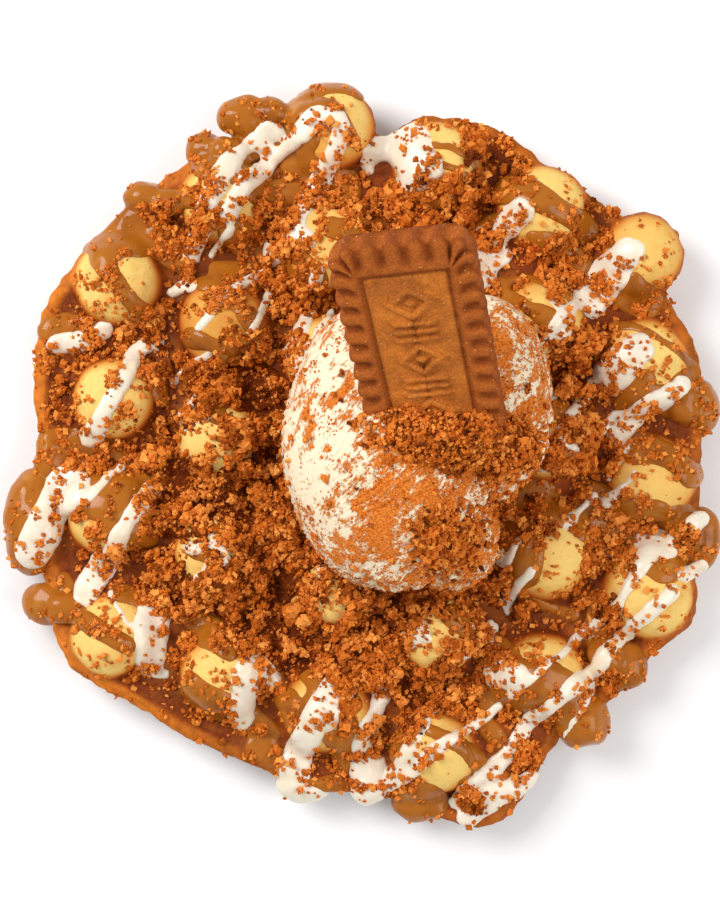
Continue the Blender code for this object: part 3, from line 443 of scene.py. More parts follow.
class BiscuitSettings(bpy.types.PropertyGroup):
    long_side: length("Length", "Length of the biscuit", 62.0 * MM)
    short_side: length("Width", "Width of the biscuit", 31.5 * MM)
    thickness: length("Thickness", "Thickness of the biscuit at its border", 6.5 * MM)
    panel_depth: length("Panel depth", "How far the middle lies below the border", 0.9 * MM)
    rib_pitch: length("Rib pitch", "Distance between the border's ribs", 5.3 * MM)
    rib_depth: length("Rib depth", "Depth of the grooves between the ribs", 1.3 * MM)
    panel_colour: colour("Panel", "Colour of the sunken middle", shade(214, 124, 46))
    border_colour: colour("Border", "Colour of the ribbed border", shade(174, 90, 34))
    # This colour also paints the shade in the biscuit's hollows: the rib grooves, the ornament's sides and
    # the foot of the panel's rim.
    edge_and_hollow_shade_colour: colour("Edge", "Colour of the well baked edge", shade(130, 58, 18))


class StageSettings(bpy.types.PropertyGroup):
    key_power: power("Key light", "Power of the large soft light", 3.4)
    fill_power: power("Fill light", "Power of the weaker light opposite", 1.6)
    sky: bpy.props.FloatProperty(name="Sky", description="Strength of the light from all round",
                                 default=0.47, min=0.0)
    floor_colour: colour("Floor", "Colour of the pale floor", (0.95, 0.95, 0.95))


# ---------------------------------------------------------------- making and changing meshes


def clear_selection():
    """Leaves nothing selected, so that an operator acts on its new primitive alone."""
    if bpy.context.object is not None and bpy.context.object.mode != "OBJECT":
        bpy.ops.object.mode_set(mode="OBJECT")
    bpy.ops.object.select_all(action="DESELECT")


def choose(piece):
    """Leaves the piece alone selected and active."""
    clear_selection()
    piece.select_set(True)
    bpy.context.view_layer.objects.active = piece


def points_of(piece):
    """The piece's points in millimetres, one row each."""
    flat = np.empty(len(piece.data.vertices) * 3, np.float32)
    piece.data.vertices.foreach_get("co", flat)
    return flat.reshape(-1, 3).astype(float) / MM


def move_points(piece, points):
    piece.data.vertices.foreach_set("co", np.asarray(points * MM, np.float32).ravel())
    piece.data.update()


def normals_of(piece):
    flat = np.empty(len(piece.data.vertices) * 3, np.float32)
    piece.data.vertices.foreach_get("normal", flat)
    return flat.reshape(-1, 3).astype(float)


def modify(piece, kind, **settings):
    """Adds a modifier to the piece and applies it."""
    choose(piece)
    modifier = piece.modifiers.new(kind.title(), kind)
    for name, value in settings.items():
        setattr(modifier, name, value)
    bpy.ops.object.modifier_apply(modifier=modifier.name)


def joined(pieces):
    clear_selection()
    for piece in pieces:
        piece.select_set(True)
    bpy.context.view_layer.objects.active = pieces[0]
    bpy.ops.object.join()
    return bpy.context.object


def new_piece(name, points, faces):
    """A piece from points in millimetres and the faces between them."""
    mesh = bpy.data.meshes.new(name)
    mesh.from_pydata((points * MM).tolist(), [], faces.tolist())
    mesh.update()
    piece = bpy.data.objects.new(name, mesh)
    bpy.context.scene.collection.objects.link(piece)
    return piece


def ball(middle, half_sizes, segments=48, rings=24):
    """A round lump with the given middle and half sizes, in millimetres."""
    clear_selection()
    bpy.ops.mesh.primitive_uv_sphere_add(segments=segments, ring_count=rings, radius=1.0)
    piece = bpy.context.object
    piece.location = Vector(middle) * MM
    piece.scale = Vector(half_sizes) * MM
    bpy.ops.object.transform_apply(location=True, rotation=True, scale=True)
    return piece


def finish_piece(piece, name, look, smooth=True):
    """Names a made piece, gives it its finish and lets it ride on the waffle."""
    clear_selection()
    piece.name = name
    piece.data.name = name
    piece.data.materials.clear()
    piece.data.materials.append(look)
    if smooth:
        piece.data.shade_smooth()
    else:
        piece.data.shade_flat()
    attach(piece, "root")


def mark(piece, name, values):
    """Keeps one number for each point of the piece under a name that its material reads."""
    attribute = piece.data.attributes.new(name, "FLOAT", "POINT")
    attribute.data.foreach_set("value", np.asarray(values, np.float32))


def lumps(points, size, seed=0):
    """Smooth random swelling at rows of points, in lumps about size across, mostly from -1 to 1."""
    table = np.random.default_rng(seed).uniform(-1, 1, (LUMP_TABLE,) * 3)
    scaled = np.asarray(points, float) / size
    cell = np.floor(scaled).astype(int)
    part = scaled - cell
    part = part * part * (3 - 2 * part)
    total = np.zeros(scaled.shape[:-1])
    for corner in itertools.product((0, 1), repeat=3):
        weight = np.prod(np.where(corner, part, 1 - part), axis=-1)
        spot = (cell + np.array(corner)) % LUMP_TABLE
        total += weight * table[spot[..., 0], spot[..., 1], spot[..., 2]]
    return total * 1.6


def plan_lumps(size, seed):
    return lumps(np.stack((PLAN_X, PLAN_Y, np.full_like(PLAN_X, 3.3)), axis=-1), size, seed)


def soft_step(value, low, high):
    """From 0 at low to 1 at high, level at both ends."""
    part = np.clip((value - low) / (high - low), 0, 1)
    return part * part * (3 - 2 * part)


def fading(value, low, high):
    """From 1 at low to 0 at high, level at both ends."""
    return 1 - soft_step(value, low, high)


def angles_of(points):
    """Each point's angle round the middle, in degrees."""
    return np.degrees(np.arctan2(points[:, 1], points[:, 0]))


def dropped(tree, x, y):
    """The first place on the pieces under the tree that lies straight below a place of the plan, or None."""
    return tree.ray_cast(Vector((x, y, DROP_FROM)) * MM, DOWN)[0]


# ---------------------------------------------------------------- the plan: heights, bands and slabs


def blurred(values, width):
    """The plan's values, blurred over width in millimetres."""
    reach = int(math.ceil(width * 3 / PLAN_STEP))
    kernel = np.exp(-0.5 * (np.arange(-reach, reach + 1) * PLAN_STEP / width) ** 2)
    kernel /= kernel.sum()
    for _ in range(2):
        padded = np.pad(values, ((reach, reach), (0, 0)), mode="edge")
        values = sum(weight * padded[i:i + values.shape[0]] for i, weight in enumerate(kernel)).T
    return values


def known(heights):
    """Where the plan has a height at all."""
    return heights > NOWHERE / 2


def levelled(heights):
    """The plan's heights, with the web's middle where there is none."""
    return np.where(known(heights), heights, WEB_MIDDLE)


def shifted(values, step_x, step_y):
    return np.roll(np.roll(values, step_x, axis=0), step_y, axis=1)


def heights_of(piece):
    """How high the finished piece's top lies over each place of the plan, or NOWHERE."""
    if piece.name in HEIGHTS:
        return HEIGHTS[piece.name]
    tree = BVHTree.FromObject(piece, bpy.context.evaluated_depsgraph_get())
    low, high = points_of(piece).min(0), points_of(piece).max(0)
    heights = np.full_like(PLAN_X, NOWHERE)
    inside = (PLAN_X > low[0]) & (PLAN_X < high[0]) & (PLAN_Y > low[1]) & (PLAN_Y < high[1])
    for spot in np.argwhere(inside):
        place = Vector((PLAN_X[tuple(spot)], PLAN_Y[tuple(spot)], high[2] + 10)) * MM
        hit = tree.ray_cast(place, DOWN)[0]
        if hit is not None:
            heights[tuple(spot)] = hit.z / MM
    HEIGHTS[piece.name] = heights
    return heights


def as_seen(x, y, z):
    """Where a place appears when looked at from above, measured on the web."""
    growth = VIEW_HEIGHT / (VIEW_HEIGHT - (z - WEB_MIDDLE))
    return VIEW_MIDDLE[0] + (x - VIEW_MIDDLE[0]) * growth, VIEW_MIDDLE[1] + (y - VIEW_MIDDLE[1]) * growth


def smooth_path(points):
    """Places along a smooth curve through the points."""
    ends = [np.array(p, float) for p in points]
    ends = [2 * ends[0] - ends[1]] + ends + [2 * ends[-1] - ends[-2]]
    path = []
    for before, start, end, after in zip(ends, ends[1:], ends[2:], ends[3:]):
        count = max(int(np.linalg.norm(end - start) / PATH_STEP), 1)
        for index in range(count):
            t = index / count
            path.append(0.5 * (2 * start + (end - before) * t
                               + (2 * before - 5 * start + 4 * end - after) * t * t
                               + (3 * start - before - 3 * end + after) * t ** 3))
    return np.array(path + [ends[-2]])


def band_depth(strokes, ground, deepest, steepness, flatness, waver, seed):
    """How deep poured bands lie over the plan. A band swells along its way and is rounded across."""
    seen_x, seen_y = as_seen(PLAN_X, PLAN_Y, levelled(ground))
    seen_x = seen_x + waver * (plan_lumps(6.0, seed) + 0.6 * plan_lumps(2.4, seed + 2))
    seen_y = seen_y + waver * (plan_lumps(6.0, seed + 1) + 0.6 * plan_lumps(2.4, seed + 3))
    depth = np.full_like(PLAN_X, -1.0)
    second = np.zeros_like(PLAN_X)
    for index, (points, width) in enumerate(strokes):
        path = smooth_path(points)
        spare = int(0.3 * width / PATH_STEP)
        if len(path) > 3 * spare + 2:
            path = path[spare:len(path) - spare]
        travelled = np.arange(len(path)) * PATH_STEP
        along_row = np.stack((travelled, travelled * 0, travelled * 0 + 7.7 * index), -1)
        swell = 1 + 0.16 * lumps(along_row, 6.0, seed)
        field = np.full_like(PLAN_X, -1.0)
        for (x, y), half in zip(path, 0.46 * width * swell):
            reach = half * 1.4 + 3.0
            near_x = slice(*np.searchsorted(PLAN_X[:, 0], (x - reach, x + reach)))
            near_y = slice(*np.searchsorted(PLAN_Y[0], (y - reach, y + reach)))
            away = (seen_x[near_x, near_y] - x) ** 2 + (seen_y[near_x, near_y] - y) ** 2
            field[near_x, near_y] = np.maximum(field[near_x, near_y], 1 - away / half ** 2)
        rounded = min(deepest, steepness * width)
        flat = 2 + flatness * max(width - 4, 0)
        body = np.clip(1 - (1 - np.clip(field, 0, 1)) ** (flat / 2), 0, 1) ** 0.5
        own = np.where(field > 0, rounded * body, np.maximum(field, -1.0) * 0.8)
        second = np.maximum(second, np.minimum(np.maximum(own, 0), np.maximum(depth, 0)))
        depth = np.maximum(depth, own)
    return np.where(depth > 0, depth + 0.3 * second, depth)


def draped(ground, depth):
    """The ground raised by depth at right angles to its slope and over its edges, and what hangs there."""
    reach = int(math.ceil(depth.max() / PLAN_STEP))
    over = np.full_like(ground, NOWHERE)
    under = np.full_like(ground, -NOWHERE)
    for step_x, step_y in itertools.product(range(-reach, reach + 1), repeat=2):
        away = (step_x ** 2 + step_y ** 2) * PLAN_STEP ** 2
        near_ground = shifted(ground, step_x, step_y)
        near_depth = shifted(depth, step_x, step_y)
        reached = (near_depth * np.abs(near_depth) > away) & known(near_ground)
        rise = np.sqrt(np.maximum(near_depth ** 2 - away, 0))
        over = np.where(reached, np.maximum(over, near_ground + rise), over)
        under = np.where(reached, np.minimum(under, near_ground - 1.6 * rise - 0.8), under)
    return over, under


def no_touching_corners(cells):
    """Fills places where two cells meet only at a corner, so that the slab's wall stays closed."""
    while True:
        a, b, c, d = cells[:-1, :-1], cells[1:, :-1], cells[1:, 1:], cells[:-1, 1:]
        crossing = (a & c & ~b & ~d) | (b & d & ~a & ~c)
        if not crossing.any():
            return cells
        for spot_x, spot_y in np.argwhere(crossing):
            cells[spot_x:spot_x + 2, spot_y:spot_y + 2] = True


def slab(name, over, under, inside):
    """A closed piece between two sheets of heights over the plan."""
    cells = no_touching_corners(inside[:-1, :-1] & inside[1:, :-1] & inside[1:, 1:] & inside[:-1, 1:])
    used = np.zeros_like(inside)
    for step_x, step_y in itertools.product((0, 1), repeat=2):
        used[step_x:used.shape[0] - 1 + step_x, step_y:used.shape[1] - 1 + step_y] |= cells
    number_at = np.full(inside.shape, -1)
    number_at[used] = np.arange(used.sum())
    count = int(used.sum())
    sheets = [np.stack((PLAN_X[used], PLAN_Y[used], level[used]), -1) for level in (over, under)]
    at_x, at_y = np.nonzero(cells)
    corners = np.stack([number_at[at_x + dx, at_y + dy] for dx, dy in ((0, 0), (1, 0), (1, 1), (0, 1))], -1)
    faces = [corners, corners[:, ::-1] + count]
    padded = np.pad(cells, 1)
    for side, (dx, dy) in enumerate(((0, -1), (1, 0), (0, 1), (-1, 0))):
        open_side = ~padded[at_x + 1 + dx, at_y + 1 + dy]
        start, end = corners[open_side, side], corners[open_side, (side + 1) % 4]
        faces.append(np.stack((end, start, start + count, end + count), -1))
    return new_piece(name, np.concatenate(sheets), np.concatenate(faces))


# ---------------------------------------------------------------- finishes


class Finish:
    """A material that is being mixed: nodes are added to it one after another."""

    def __init__(self, name, rough, coat=0.0, coat_rough=0.1, subsurface=0.0, scale=0.001, specular=0.5):
        self.material = bpy.data.materials.new(name)
        self.material.use_nodes = True
        self.nodes = self.material.node_tree.nodes
        self.links = self.material.node_tree.links
        self.shader = self.nodes["Principled BSDF"]
        for socket, value in (("Roughness", rough), ("Coat Weight", coat), ("Coat Roughness", coat_rough),
                              ("Subsurface Weight", subsurface), ("Subsurface Scale", scale),
                              ("Specular IOR Level", specular)):
            self.shader.inputs[socket].default_value = value
        self.place = self.add("ShaderNodeTexCoord").outputs["Object"]

    def add(self, kind, inputs=(), **settings):
        node = self.nodes.new(kind)
        for name, value in settings.items():
            setattr(node, name, value)
        for socket, value in dict(inputs).items():
            self.give(node.inputs[socket], value)
        return node

    def give(self, socket, value):
        if isinstance(value, bpy.types.NodeSocket):
            self.links.new(value, socket)
        elif socket.type == "RGBA":
            socket.default_value = (*value, 1.0)
        else:
            socket.default_value = value

    def noise(self, size, detail=3.0, roughness=0.55, distortion=0.0, place=None):
        """Cloudy noise with features about size across, in millimetres, from 0 to 1."""
        node = self.add("ShaderNodeTexNoise", {"Vector": place or self.place, "Scale": 1 / (size * MM),
                                               "Detail": detail, "Roughness": roughness,
                                               "Distortion": distortion})
        return node.outputs["Fac"]

    def cells(self, size):
        node = self.add("ShaderNodeTexVoronoi", {"Vector": self.place, "Scale": 1 / (size * MM)})
        return node.outputs["Distance"]

    def combined(self, first, second, way="ADD"):
        return self.add("ShaderNodeMath", {0: first, 1: second}, operation=way).outputs[0]

    def between(self, value, low, high, to_low=0.0, to_high=1.0):
        node = self.add("ShaderNodeMapRange", {"Value": value, "From Min": low, "From Max": high,
                                               "To Min": to_low, "To Max": to_high})
        return node.outputs["Result"]

    def ramp(self, value, *stops):
        node = self.add("ShaderNodeValToRGB", {"Fac": value})
        elements = node.color_ramp.elements
        while len(elements) < len(stops):
            elements.new(0.5)
        for element, (position, tint) in zip(elements, stops):
            element.position = position
            element.color = (*tint, 1.0)
        return node.outputs["Color"]

    def mixed(self, amount, first, second, way="MIX"):
        node = self.add("ShaderNodeMix", data_type="RGBA", blend_type=way, clamp_factor=True)
        self.give(node.inputs[0], amount)
        self.give(node.inputs[6], first)
        self.give(node.inputs[7], second)
        return node.outputs[2]

    def marked(self, name):
        return self.add("ShaderNodeAttribute", attribute_type="GEOMETRY", attribute_name=name).outputs["Fac"]

    def bump(self, *layers):
        """Raises the surface by each layer's height value times its depth in millimetres."""
        normal = None
        for height, depth in layers:
            inputs = {"Height": height, "Distance": depth * MM, "Strength": 1.0}
            if normal is not None:
                inputs["Normal"] = normal
            normal = self.add("ShaderNodeBump", inputs).outputs["Normal"]
        self.links.new(normal, self.shader.inputs["Normal"])

    def colour(self, value):
        self.give(self.shader.inputs["Base Color"], value)

    def rough(self, value):
        self.give(self.shader.inputs["Roughness"], value)


def waffle_finish(settings):
    """Baked batter: pale on the domes, brown in the web and darkened there with painted valley shade, with
    specks and fine pores.
    """
    look = Finish("baked batter", rough=0.62, specular=0.12)
    toast = look.marked("toast")
    wavering = look.between(look.noise(9.0, 4.0), 0.3, 0.7, -0.09, 0.09)
    baked = look.combined(toast, wavering)
    # The ramp ends in the web colour: the web's baked brown, darkened further as painted shade for the
    # valleys between the bubbles.
    tint = look.ramp(baked, (0.05, settings.pale_colour), (0.38, settings.gold_colour),
                     (0.66, settings.tan_colour), (0.86, shade(164, 74, 22)),
                     (0.97, settings.web_and_valley_shade_colour))
    blotches = look.between(look.noise(12.0, 4.0), 0.5, 0.72, 0.0, 0.7)
    tint = look.mixed(blotches, tint, look.mixed(0.6, tint, shade(216, 128, 44)))
    uneven = look.between(look.noise(2.5, 4.0), 0.3, 0.7, 0.55, 1.2)
    rim = look.combined(look.marked("crust"), uneven, "MULTIPLY")
    tint = look.mixed(rim, tint, settings.rim_colour)
    streaks = look.between(look.noise(3.2, 5.0, 0.65), 0.35, 0.7, 0.75, 1.15)
    shaded = look.add("ShaderNodeHueSaturation", {"Color": tint, "Value": streaks}).outputs["Color"]
    tint = look.mixed(look.between(baked, 0.6, 0.95), tint, shaded)
    mottle = look.between(look.noise(1.1, 4.0, 0.65), 0.5, 0.75, 0.0, 0.45)
    tint = look.mixed(mottle, tint, look.mixed(0.5, tint, shade(200, 116, 44)))
    specks = look.between(look.cells(1.9), 0.1, 0.16, 0.75, 0.0)
    sparse = look.between(look.noise(2.7, 1.0), 0.52, 0.6)
    tint = look.mixed(look.combined(specks, sparse, "MULTIPLY"), tint, shade(150, 84, 34))
    look.colour(tint)
    look.rough(look.between(look.noise(1.5, 3.0), 0.3, 0.7, 0.5, 0.68))
    look.bump((look.noise(2.6, 4.0), 0.25), (look.noise(0.7, 3.0), 0.12))
    return look.material


def caramel_finish(settings):
    look = Finish("poured caramel", rough=0.2, coat=0.12, coat_rough=0.06, subsurface=0.06, specular=0.2)
    look.shader.inputs["Subsurface Radius"].default_value = (1.0, 0.45, 0.15)
    clouds = look.noise(11.0, 3.0, 0.5, 0.6)
    tint = look.ramp(clouds, (0.25, settings.caramel_dark), (0.48, settings.caramel_colour),
                     (0.62, settings.caramel_colour), (0.8, settings.caramel_light))
    bubbles = look.between(look.cells(3.1), 0.05, 0.09, 0.35, 0.0)
    sparse = look.between(look.noise(5.0, 1.0), 0.55, 0.6)
    tint = look.mixed(look.combined(bubbles, sparse, "MULTIPLY"), tint, shade(150, 82, 34))
    look.colour(tint)
    look.rough(look.between(look.noise(6.0, 2.0), 0.3, 0.7, 0.1, 0.22))
    look.bump((look.noise(3.5, 2.0), 0.16), (look.noise(0.9, 2.0), 0.02))
    return look.material


def icing_finish(settings):
    look = Finish("piped icing", rough=0.3, coat=0.25, coat_rough=0.15, subsurface=0.25, scale=0.0015)
    look.shader.inputs["Subsurface Radius"].default_value = (1.0, 0.8, 0.55)
    clouds = look.noise(7.0, 3.0)
    tint = look.ramp(clouds, (0.3, shade(238, 220, 190)), (0.5, settings.icing_colour),
                     (1.0, settings.icing_colour))
    look.colour(tint)
    look.rough(look.between(look.noise(4.0, 2.0), 0.3, 0.7, 0.24, 0.4))
    look.bump((look.noise(2.4, 3.0), 0.2), (look.noise(0.6, 2.0), 0.02))
    return look.material


def crumb_finish(settings):
    look = Finish("crushed biscuit", rough=0.9, specular=0.08)
    # The crumbs' tone mark holds each loose crumb's own tone, with its darkest tones kept to the heaps as
    # painted shade. On the crumb bed it is painted shade, darkest in the gaps between the clumps.
    tone_and_shade = look.combined(look.marked("tone_and_shade"), look.between(look.noise(0.5, 3.0), 0.3, 0.7, -0.18, 0.18))
    tint = look.ramp(tone_and_shade, (0.0, settings.dark_crumb_and_shade_colour), (0.45, settings.middle_colour),
                     (1.0, settings.light_colour))
    look.colour(tint)
    look.bump((look.noise(0.35, 3.0), 0.15))
    return look.material


def cream_finish(settings):
    look = Finish("scooped cream", rough=0.5, subsurface=0.2, scale=0.002, specular=0.3)
    look.shader.inputs["Subsurface Radius"].default_value = (1.0, 0.75, 0.5)
    mapping = {"Vector": look.place, "Rotation": (0.0, 0.0, 0.85), "Scale": (1.9, 1.0, 1.0)}
    turned = look.add("ShaderNodeMapping", mapping, vector_type="TEXTURE").outputs["Vector"]
    fine = look.noise(0.62, 3.0, 0.6, place=turned)
    middling = look.noise(2.6, 3.0, 0.6, place=turned)
    patches = look.noise(6.5, 3.0, 0.6, 0.6)
    spread = look.combined(look.combined(fine, 1.2, "MULTIPLY"), look.combined(middling, 1.7, "MULTIPLY"))
    spread = look.combined(spread, look.combined(patches, 1.5, "MULTIPLY"))
    dust = look.combined(look.marked("dust"), spread)
    cover = look.between(dust, 2.6, 2.78)
    grains = look.ramp(look.noise(0.5, 3.0), (0.3, shade(170, 78, 18)), (0.5, settings.dust_colour),
                       (0.7, shade(240, 156, 66)))
    haze = look.combined(look.marked("dust"), look.combined(patches, 1.2, "MULTIPLY"))
    stained = look.mixed(look.between(haze, 1.1, 1.55, 0.0, 0.6), settings.cream_colour, shade(238, 172, 92))
    look.colour(look.mixed(cover, stained, grains))
    look.rough(look.between(cover, 0.0, 1.0, 0.42, 0.85))
    look.bump((look.noise(1.4, 3.0), 0.12), (look.combined(cover, look.noise(0.4, 2.0), "MULTIPLY"), 0.35))
    return look.material


def biscuit_finish(settings):
    look = Finish("spiced biscuit", rough=0.8, specular=0.12)
    warm = look.ramp(look.noise(8.0, 4.0), (0.3, shade(176, 98, 40)), (0.6, settings.panel_colour),
                     (0.8, shade(202, 126, 60)))
    border = look.marked("border")
    tint = look.mixed(border, warm, settings.border_colour)
    # Darker with the edge mark: the well baked edge and underside, and painted shade in the rib grooves, on
    # the ornament's sides and at the foot of the panel's rim.
    tint = look.mixed(look.marked("edge"), tint, settings.edge_and_hollow_shade_colour)
    sand = look.between(look.noise(0.55, 4.0, 0.7), 0.35, 0.68, 0.72, 1.25)
    tint = look.add("ShaderNodeHueSaturation", {"Color": tint, "Value": sand}).outputs["Color"]
    # Light specks for the sugar grains: partly their own pale colour, partly painted highlight for their
    # glints.
    sugar_and_glint = look.between(look.cells(1.3), 0.08, 0.14, 0.8, 0.0)
    rare = look.between(look.noise(1.9, 1.0), 0.5, 0.56)
    tint = look.mixed(look.combined(sugar_and_glint, rare, "MULTIPLY"), tint, shade(240, 184, 120))
    look.colour(tint)
    look.bump((look.noise(1.6, 4.0), 0.32), (look.noise(0.5, 3.0, 0.7), 0.34))
    return look.material


# ---------------------------------------------------------------- the waffle


def web_reach(angle):
    """The web's radius at an angle in degrees, its hand-shaped lobes with it."""
    reach = np.full_like(np.asarray(angle, float), WEB_RADIUS)
    for middle, extra, width in WEB_LOBES:
        away = (angle - middle + 180) % 360 - 180
        reach = reach + extra * np.exp(-(away / width) ** 2)
    return reach


def web_wave(angle):
    turn = np.radians(angle)
    return EDGE_WAVE * (0.6 * np.sin(3 * turn + 0.7) + 0.4 * np.sin(7 * turn))


def bubble_list(settings):
    """Middle, radius and dome height of each bubble, in staggered columns."""
    draw = random.Random(7)
    found = []
    for column, (first, count) in enumerate(zip(FIRST_ROWS, ROW_COUNTS)):
        for row in range(first, first + count):
            x = FIRST_BUBBLE[0] + column * COLUMN_PITCH + draw.uniform(-BUBBLE_SHIFT, BUBBLE_SHIFT)
            y = (FIRST_BUBBLE[1] - column * COLUMN_DROP - row * ROW_PITCH
                 + draw.uniform(-BUBBLE_SHIFT, BUBBLE_SHIFT))
            radius = settings.bubble_radius / MM * (1 + draw.uniform(-BUBBLE_SPREAD, BUBBLE_SPREAD))
            dome = settings.dome_height / MM * (1 + draw.uniform(-DOME_SPREAD, DOME_SPREAD))
            nudge_x, nudge_y = BUBBLE_NUDGES.get(len(found), (0, 0))
            found.append((x + nudge_x, y + nudge_y, radius, dome))
    return found


def round_places(reach, angle, height):
    """Points at the given distances from the middle, angles in degrees and heights."""
    turn = np.radians(angle)
    return np.stack((reach * np.cos(turn), reach * np.sin(turn), height), -1)


def web_disc():
    """The thin web, drawn out from a disc."""
    clear_selection()
    bpy.ops.mesh.primitive_circle_add(vertices=240, radius=WEB_RADIUS * MM, fill_type="NGON")
    disc = bpy.context.object
    angle = angles_of(points_of(disc))
    height = WEB_MIDDLE - WEB_THICKNESS / 2 + web_wave(angle)
    move_points(disc, round_places(web_reach(angle), angle, height))
    bpy.ops.object.mode_set(mode="EDIT")
    bpy.ops.mesh.select_all(action="SELECT")
    bpy.ops.mesh.extrude_region_move(TRANSFORM_OT_translate={"value": (0, 0, WEB_THICKNESS * MM)})
    bpy.ops.mesh.select_all(action="SELECT")
    bpy.ops.mesh.normals_make_consistent(inside=False)
    bpy.ops.object.mode_set(mode="OBJECT")
    return disc


def rim_lip():
    """The raised, rough lip round the web's edge."""
    clear_selection()
    bpy.ops.mesh.primitive_torus_add(major_radius=WEB_RADIUS * MM, minor_radius=RIM_RADIUS * MM,
                                     major_segments=240, minor_segments=12)
    lip = bpy.context.object
    points = points_of(lip)
    angle = angles_of(points)
    across = np.hypot(points[:, 0], points[:, 1]) - WEB_RADIUS
    thick = 1 + 0.25 * lumps(np.stack((angle, angle * 0, angle * 0), -1), 7.0, 5)
    reach = web_reach(angle) - RIM_INSET + across * thick * 1.25
    height = WEB_TOP - 0.25 * RIM_RADIUS + web_wave(angle) + points[:, 2] * thick
    move_points(lip, round_places(reach, angle, height))
    return lip


def bubble(x, y, radius, dome, under):
    """A domed bubble, lower below the web and with a flat spot to stand on."""
    piece = ball((x, y, 0), (radius, radius, 1))
    points = points_of(piece)
    tall = np.where(points[:, 2] > 0, dome, under)
    points[:, 2] = np.maximum(WEB_MIDDLE + points[:, 2] * tall, 0)
    move_points(piece, points)
    return piece


def roughen_batter(waffle, inward, level, unevenness):
    """Swells and dents the batter, mostly at its rough edge, and presses rings into the web along it."""
    points, normals = points_of(waffle), normals_of(waffle)
    swell = unevenness / MM * (lumps(points, 8.0, 1) + 0.4 * lumps(points, 2.6, 2))
    rough_edge = 0.3 * lumps(points, 2.2, 3) * fading(inward, 3, 6) * fading(np.abs(level), 3, 5)
    resting = soft_step(points[:, 2], 0.05, 1.5)
    ring_depth, ring_pitch = EDGE_RINGS
    on_web = fading(np.abs(level), 1.6, 2.6)
    rings = ring_depth * np.cos(inward * math.tau / ring_pitch) * on_web * fading(inward, 9, 13)
    points += normals * ((swell + rough_edge) * resting)[:, None]
    points[:, 2] += rings
    points[:, 2] = np.maximum(points[:, 2], 0)
    move_points(waffle, points)


def mark_baking(waffle, x, y, inward, level):
    """Marks how dark each point is baked, and where the edge's crust lies."""
    toast = fading(np.abs(level) - 1.6, 0.0, 6.8)
    for (spot_x, spot_y), extra in TOASTED:
        toast = toast + extra * fading(np.hypot(x - spot_x, y - spot_y), 8, 13) * (1 - toast)
    mark(waffle, "toast", toast)
    wider = 0.7 * fading(x, -70, -45)
    crust = fading(inward - wider, 2.0, 3.6) * fading(np.abs(level - 0.6), 2.6, 4.0)
    mark(waffle, "crust", crust * (1 - 0.55 * soft_step(x, -66, -20)))


class WAFFLE_OT_bake(bpy.types.Operator):
    """Bakes the waffle: a thin web with a raised lip and thirty bubbles"""
    bl_idname = "waffle.bake"
    bl_label = "Bake the Waffle"

    def execute(self, context):
        settings = context.scene.waffle_settings
        under = settings.dome_height / MM
        bubbles = [bubble(*one, under) for one in bubble_list(settings)]
        waffle = joined([web_disc(), rim_lip()] + bubbles)
        move_points(waffle, points_of(waffle) + SHIFT)
        modify(waffle, "REMESH", mode="VOXEL", voxel_size=settings.grain)
        modify(waffle, "SMOOTH", factor=0.5, iterations=3)
        plain = points_of(waffle) - SHIFT
        x, y = plain[:, 0], plain[:, 1]
        angle = angles_of(plain)
        inward = web_reach(angle) - np.hypot(x, y)
        level = plain[:, 2] - WEB_MIDDLE - web_wave(angle)
        roughen_batter(waffle, inward, level, settings.unevenness)
        mark_baking(waffle, x, y, inward, level)
        finish_piece(waffle, "waffle_baked", waffle_finish(settings))
        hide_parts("waffle")
        return {"FINISHED"}


# ---------------------------------------------------------------- the sauces


def ground_of(*names):
    """The heights of the named pieces' tops over the plan, the highest of them at each place."""
    return np.maximum.reduce([heights_of(bpy.data.objects[name]) for name in names])


def poured(name, strokes, drips, ground, deepest, steepness, flatness, waver, grain, seed):
    """A sauce laid over the ground in bands, with drips hanging from its edge, fused into one piece."""
    level = levelled(ground)
    filled = np.where(known(ground), np.maximum(ground, blurred(level, SAUCE_BRIDGE)), NOWHERE)
    depth = band_depth(strokes, ground, deepest, steepness, flatness, waver, seed)
    near = np.maximum(depth, np.where(depth > -0.45, 0.05, depth))
    over, under = draped(filled, np.maximum(near, 0))
    inside = known(over) & (near > 0)
    inside |= ~known(ground) & known(over) & (under < -NOWHERE / 2)
    over = np.where(inside, over - SAUCE_SINK, level)
    under = np.where(known(ground), np.minimum(ground, over) - SAUCE_BELOW, under)
    pieces = [slab(name, over, under, inside)]
    height, size = DRIP_LUMPS
    for middle, half_sizes in drips:
        lump = ball(np.array(middle) + SHIFT, half_sizes, 32, 16)
        points, normals = points_of(lump), normals_of(lump)
        move_points(lump, points + normals * (height * lumps(points, size, seed + 5))[:, None])
        pieces.append(lump)
    piece = joined(pieces)
    modify(piece, "REMESH", mode="VOXEL", voxel_size=grain)
    modify(piece, "SMOOTH", factor=0.5, iterations=4)
    return thinned(piece)


def thinned(piece):
    """The piece with no more than MOST_TRIANGLES."""
    count = sum(len(face.vertices) - 2 for face in piece.data.polygons)
    if count > MOST_TRIANGLES:
        modify(piece, "DECIMATE", ratio=MOST_TRIANGLES / count)
    return piece


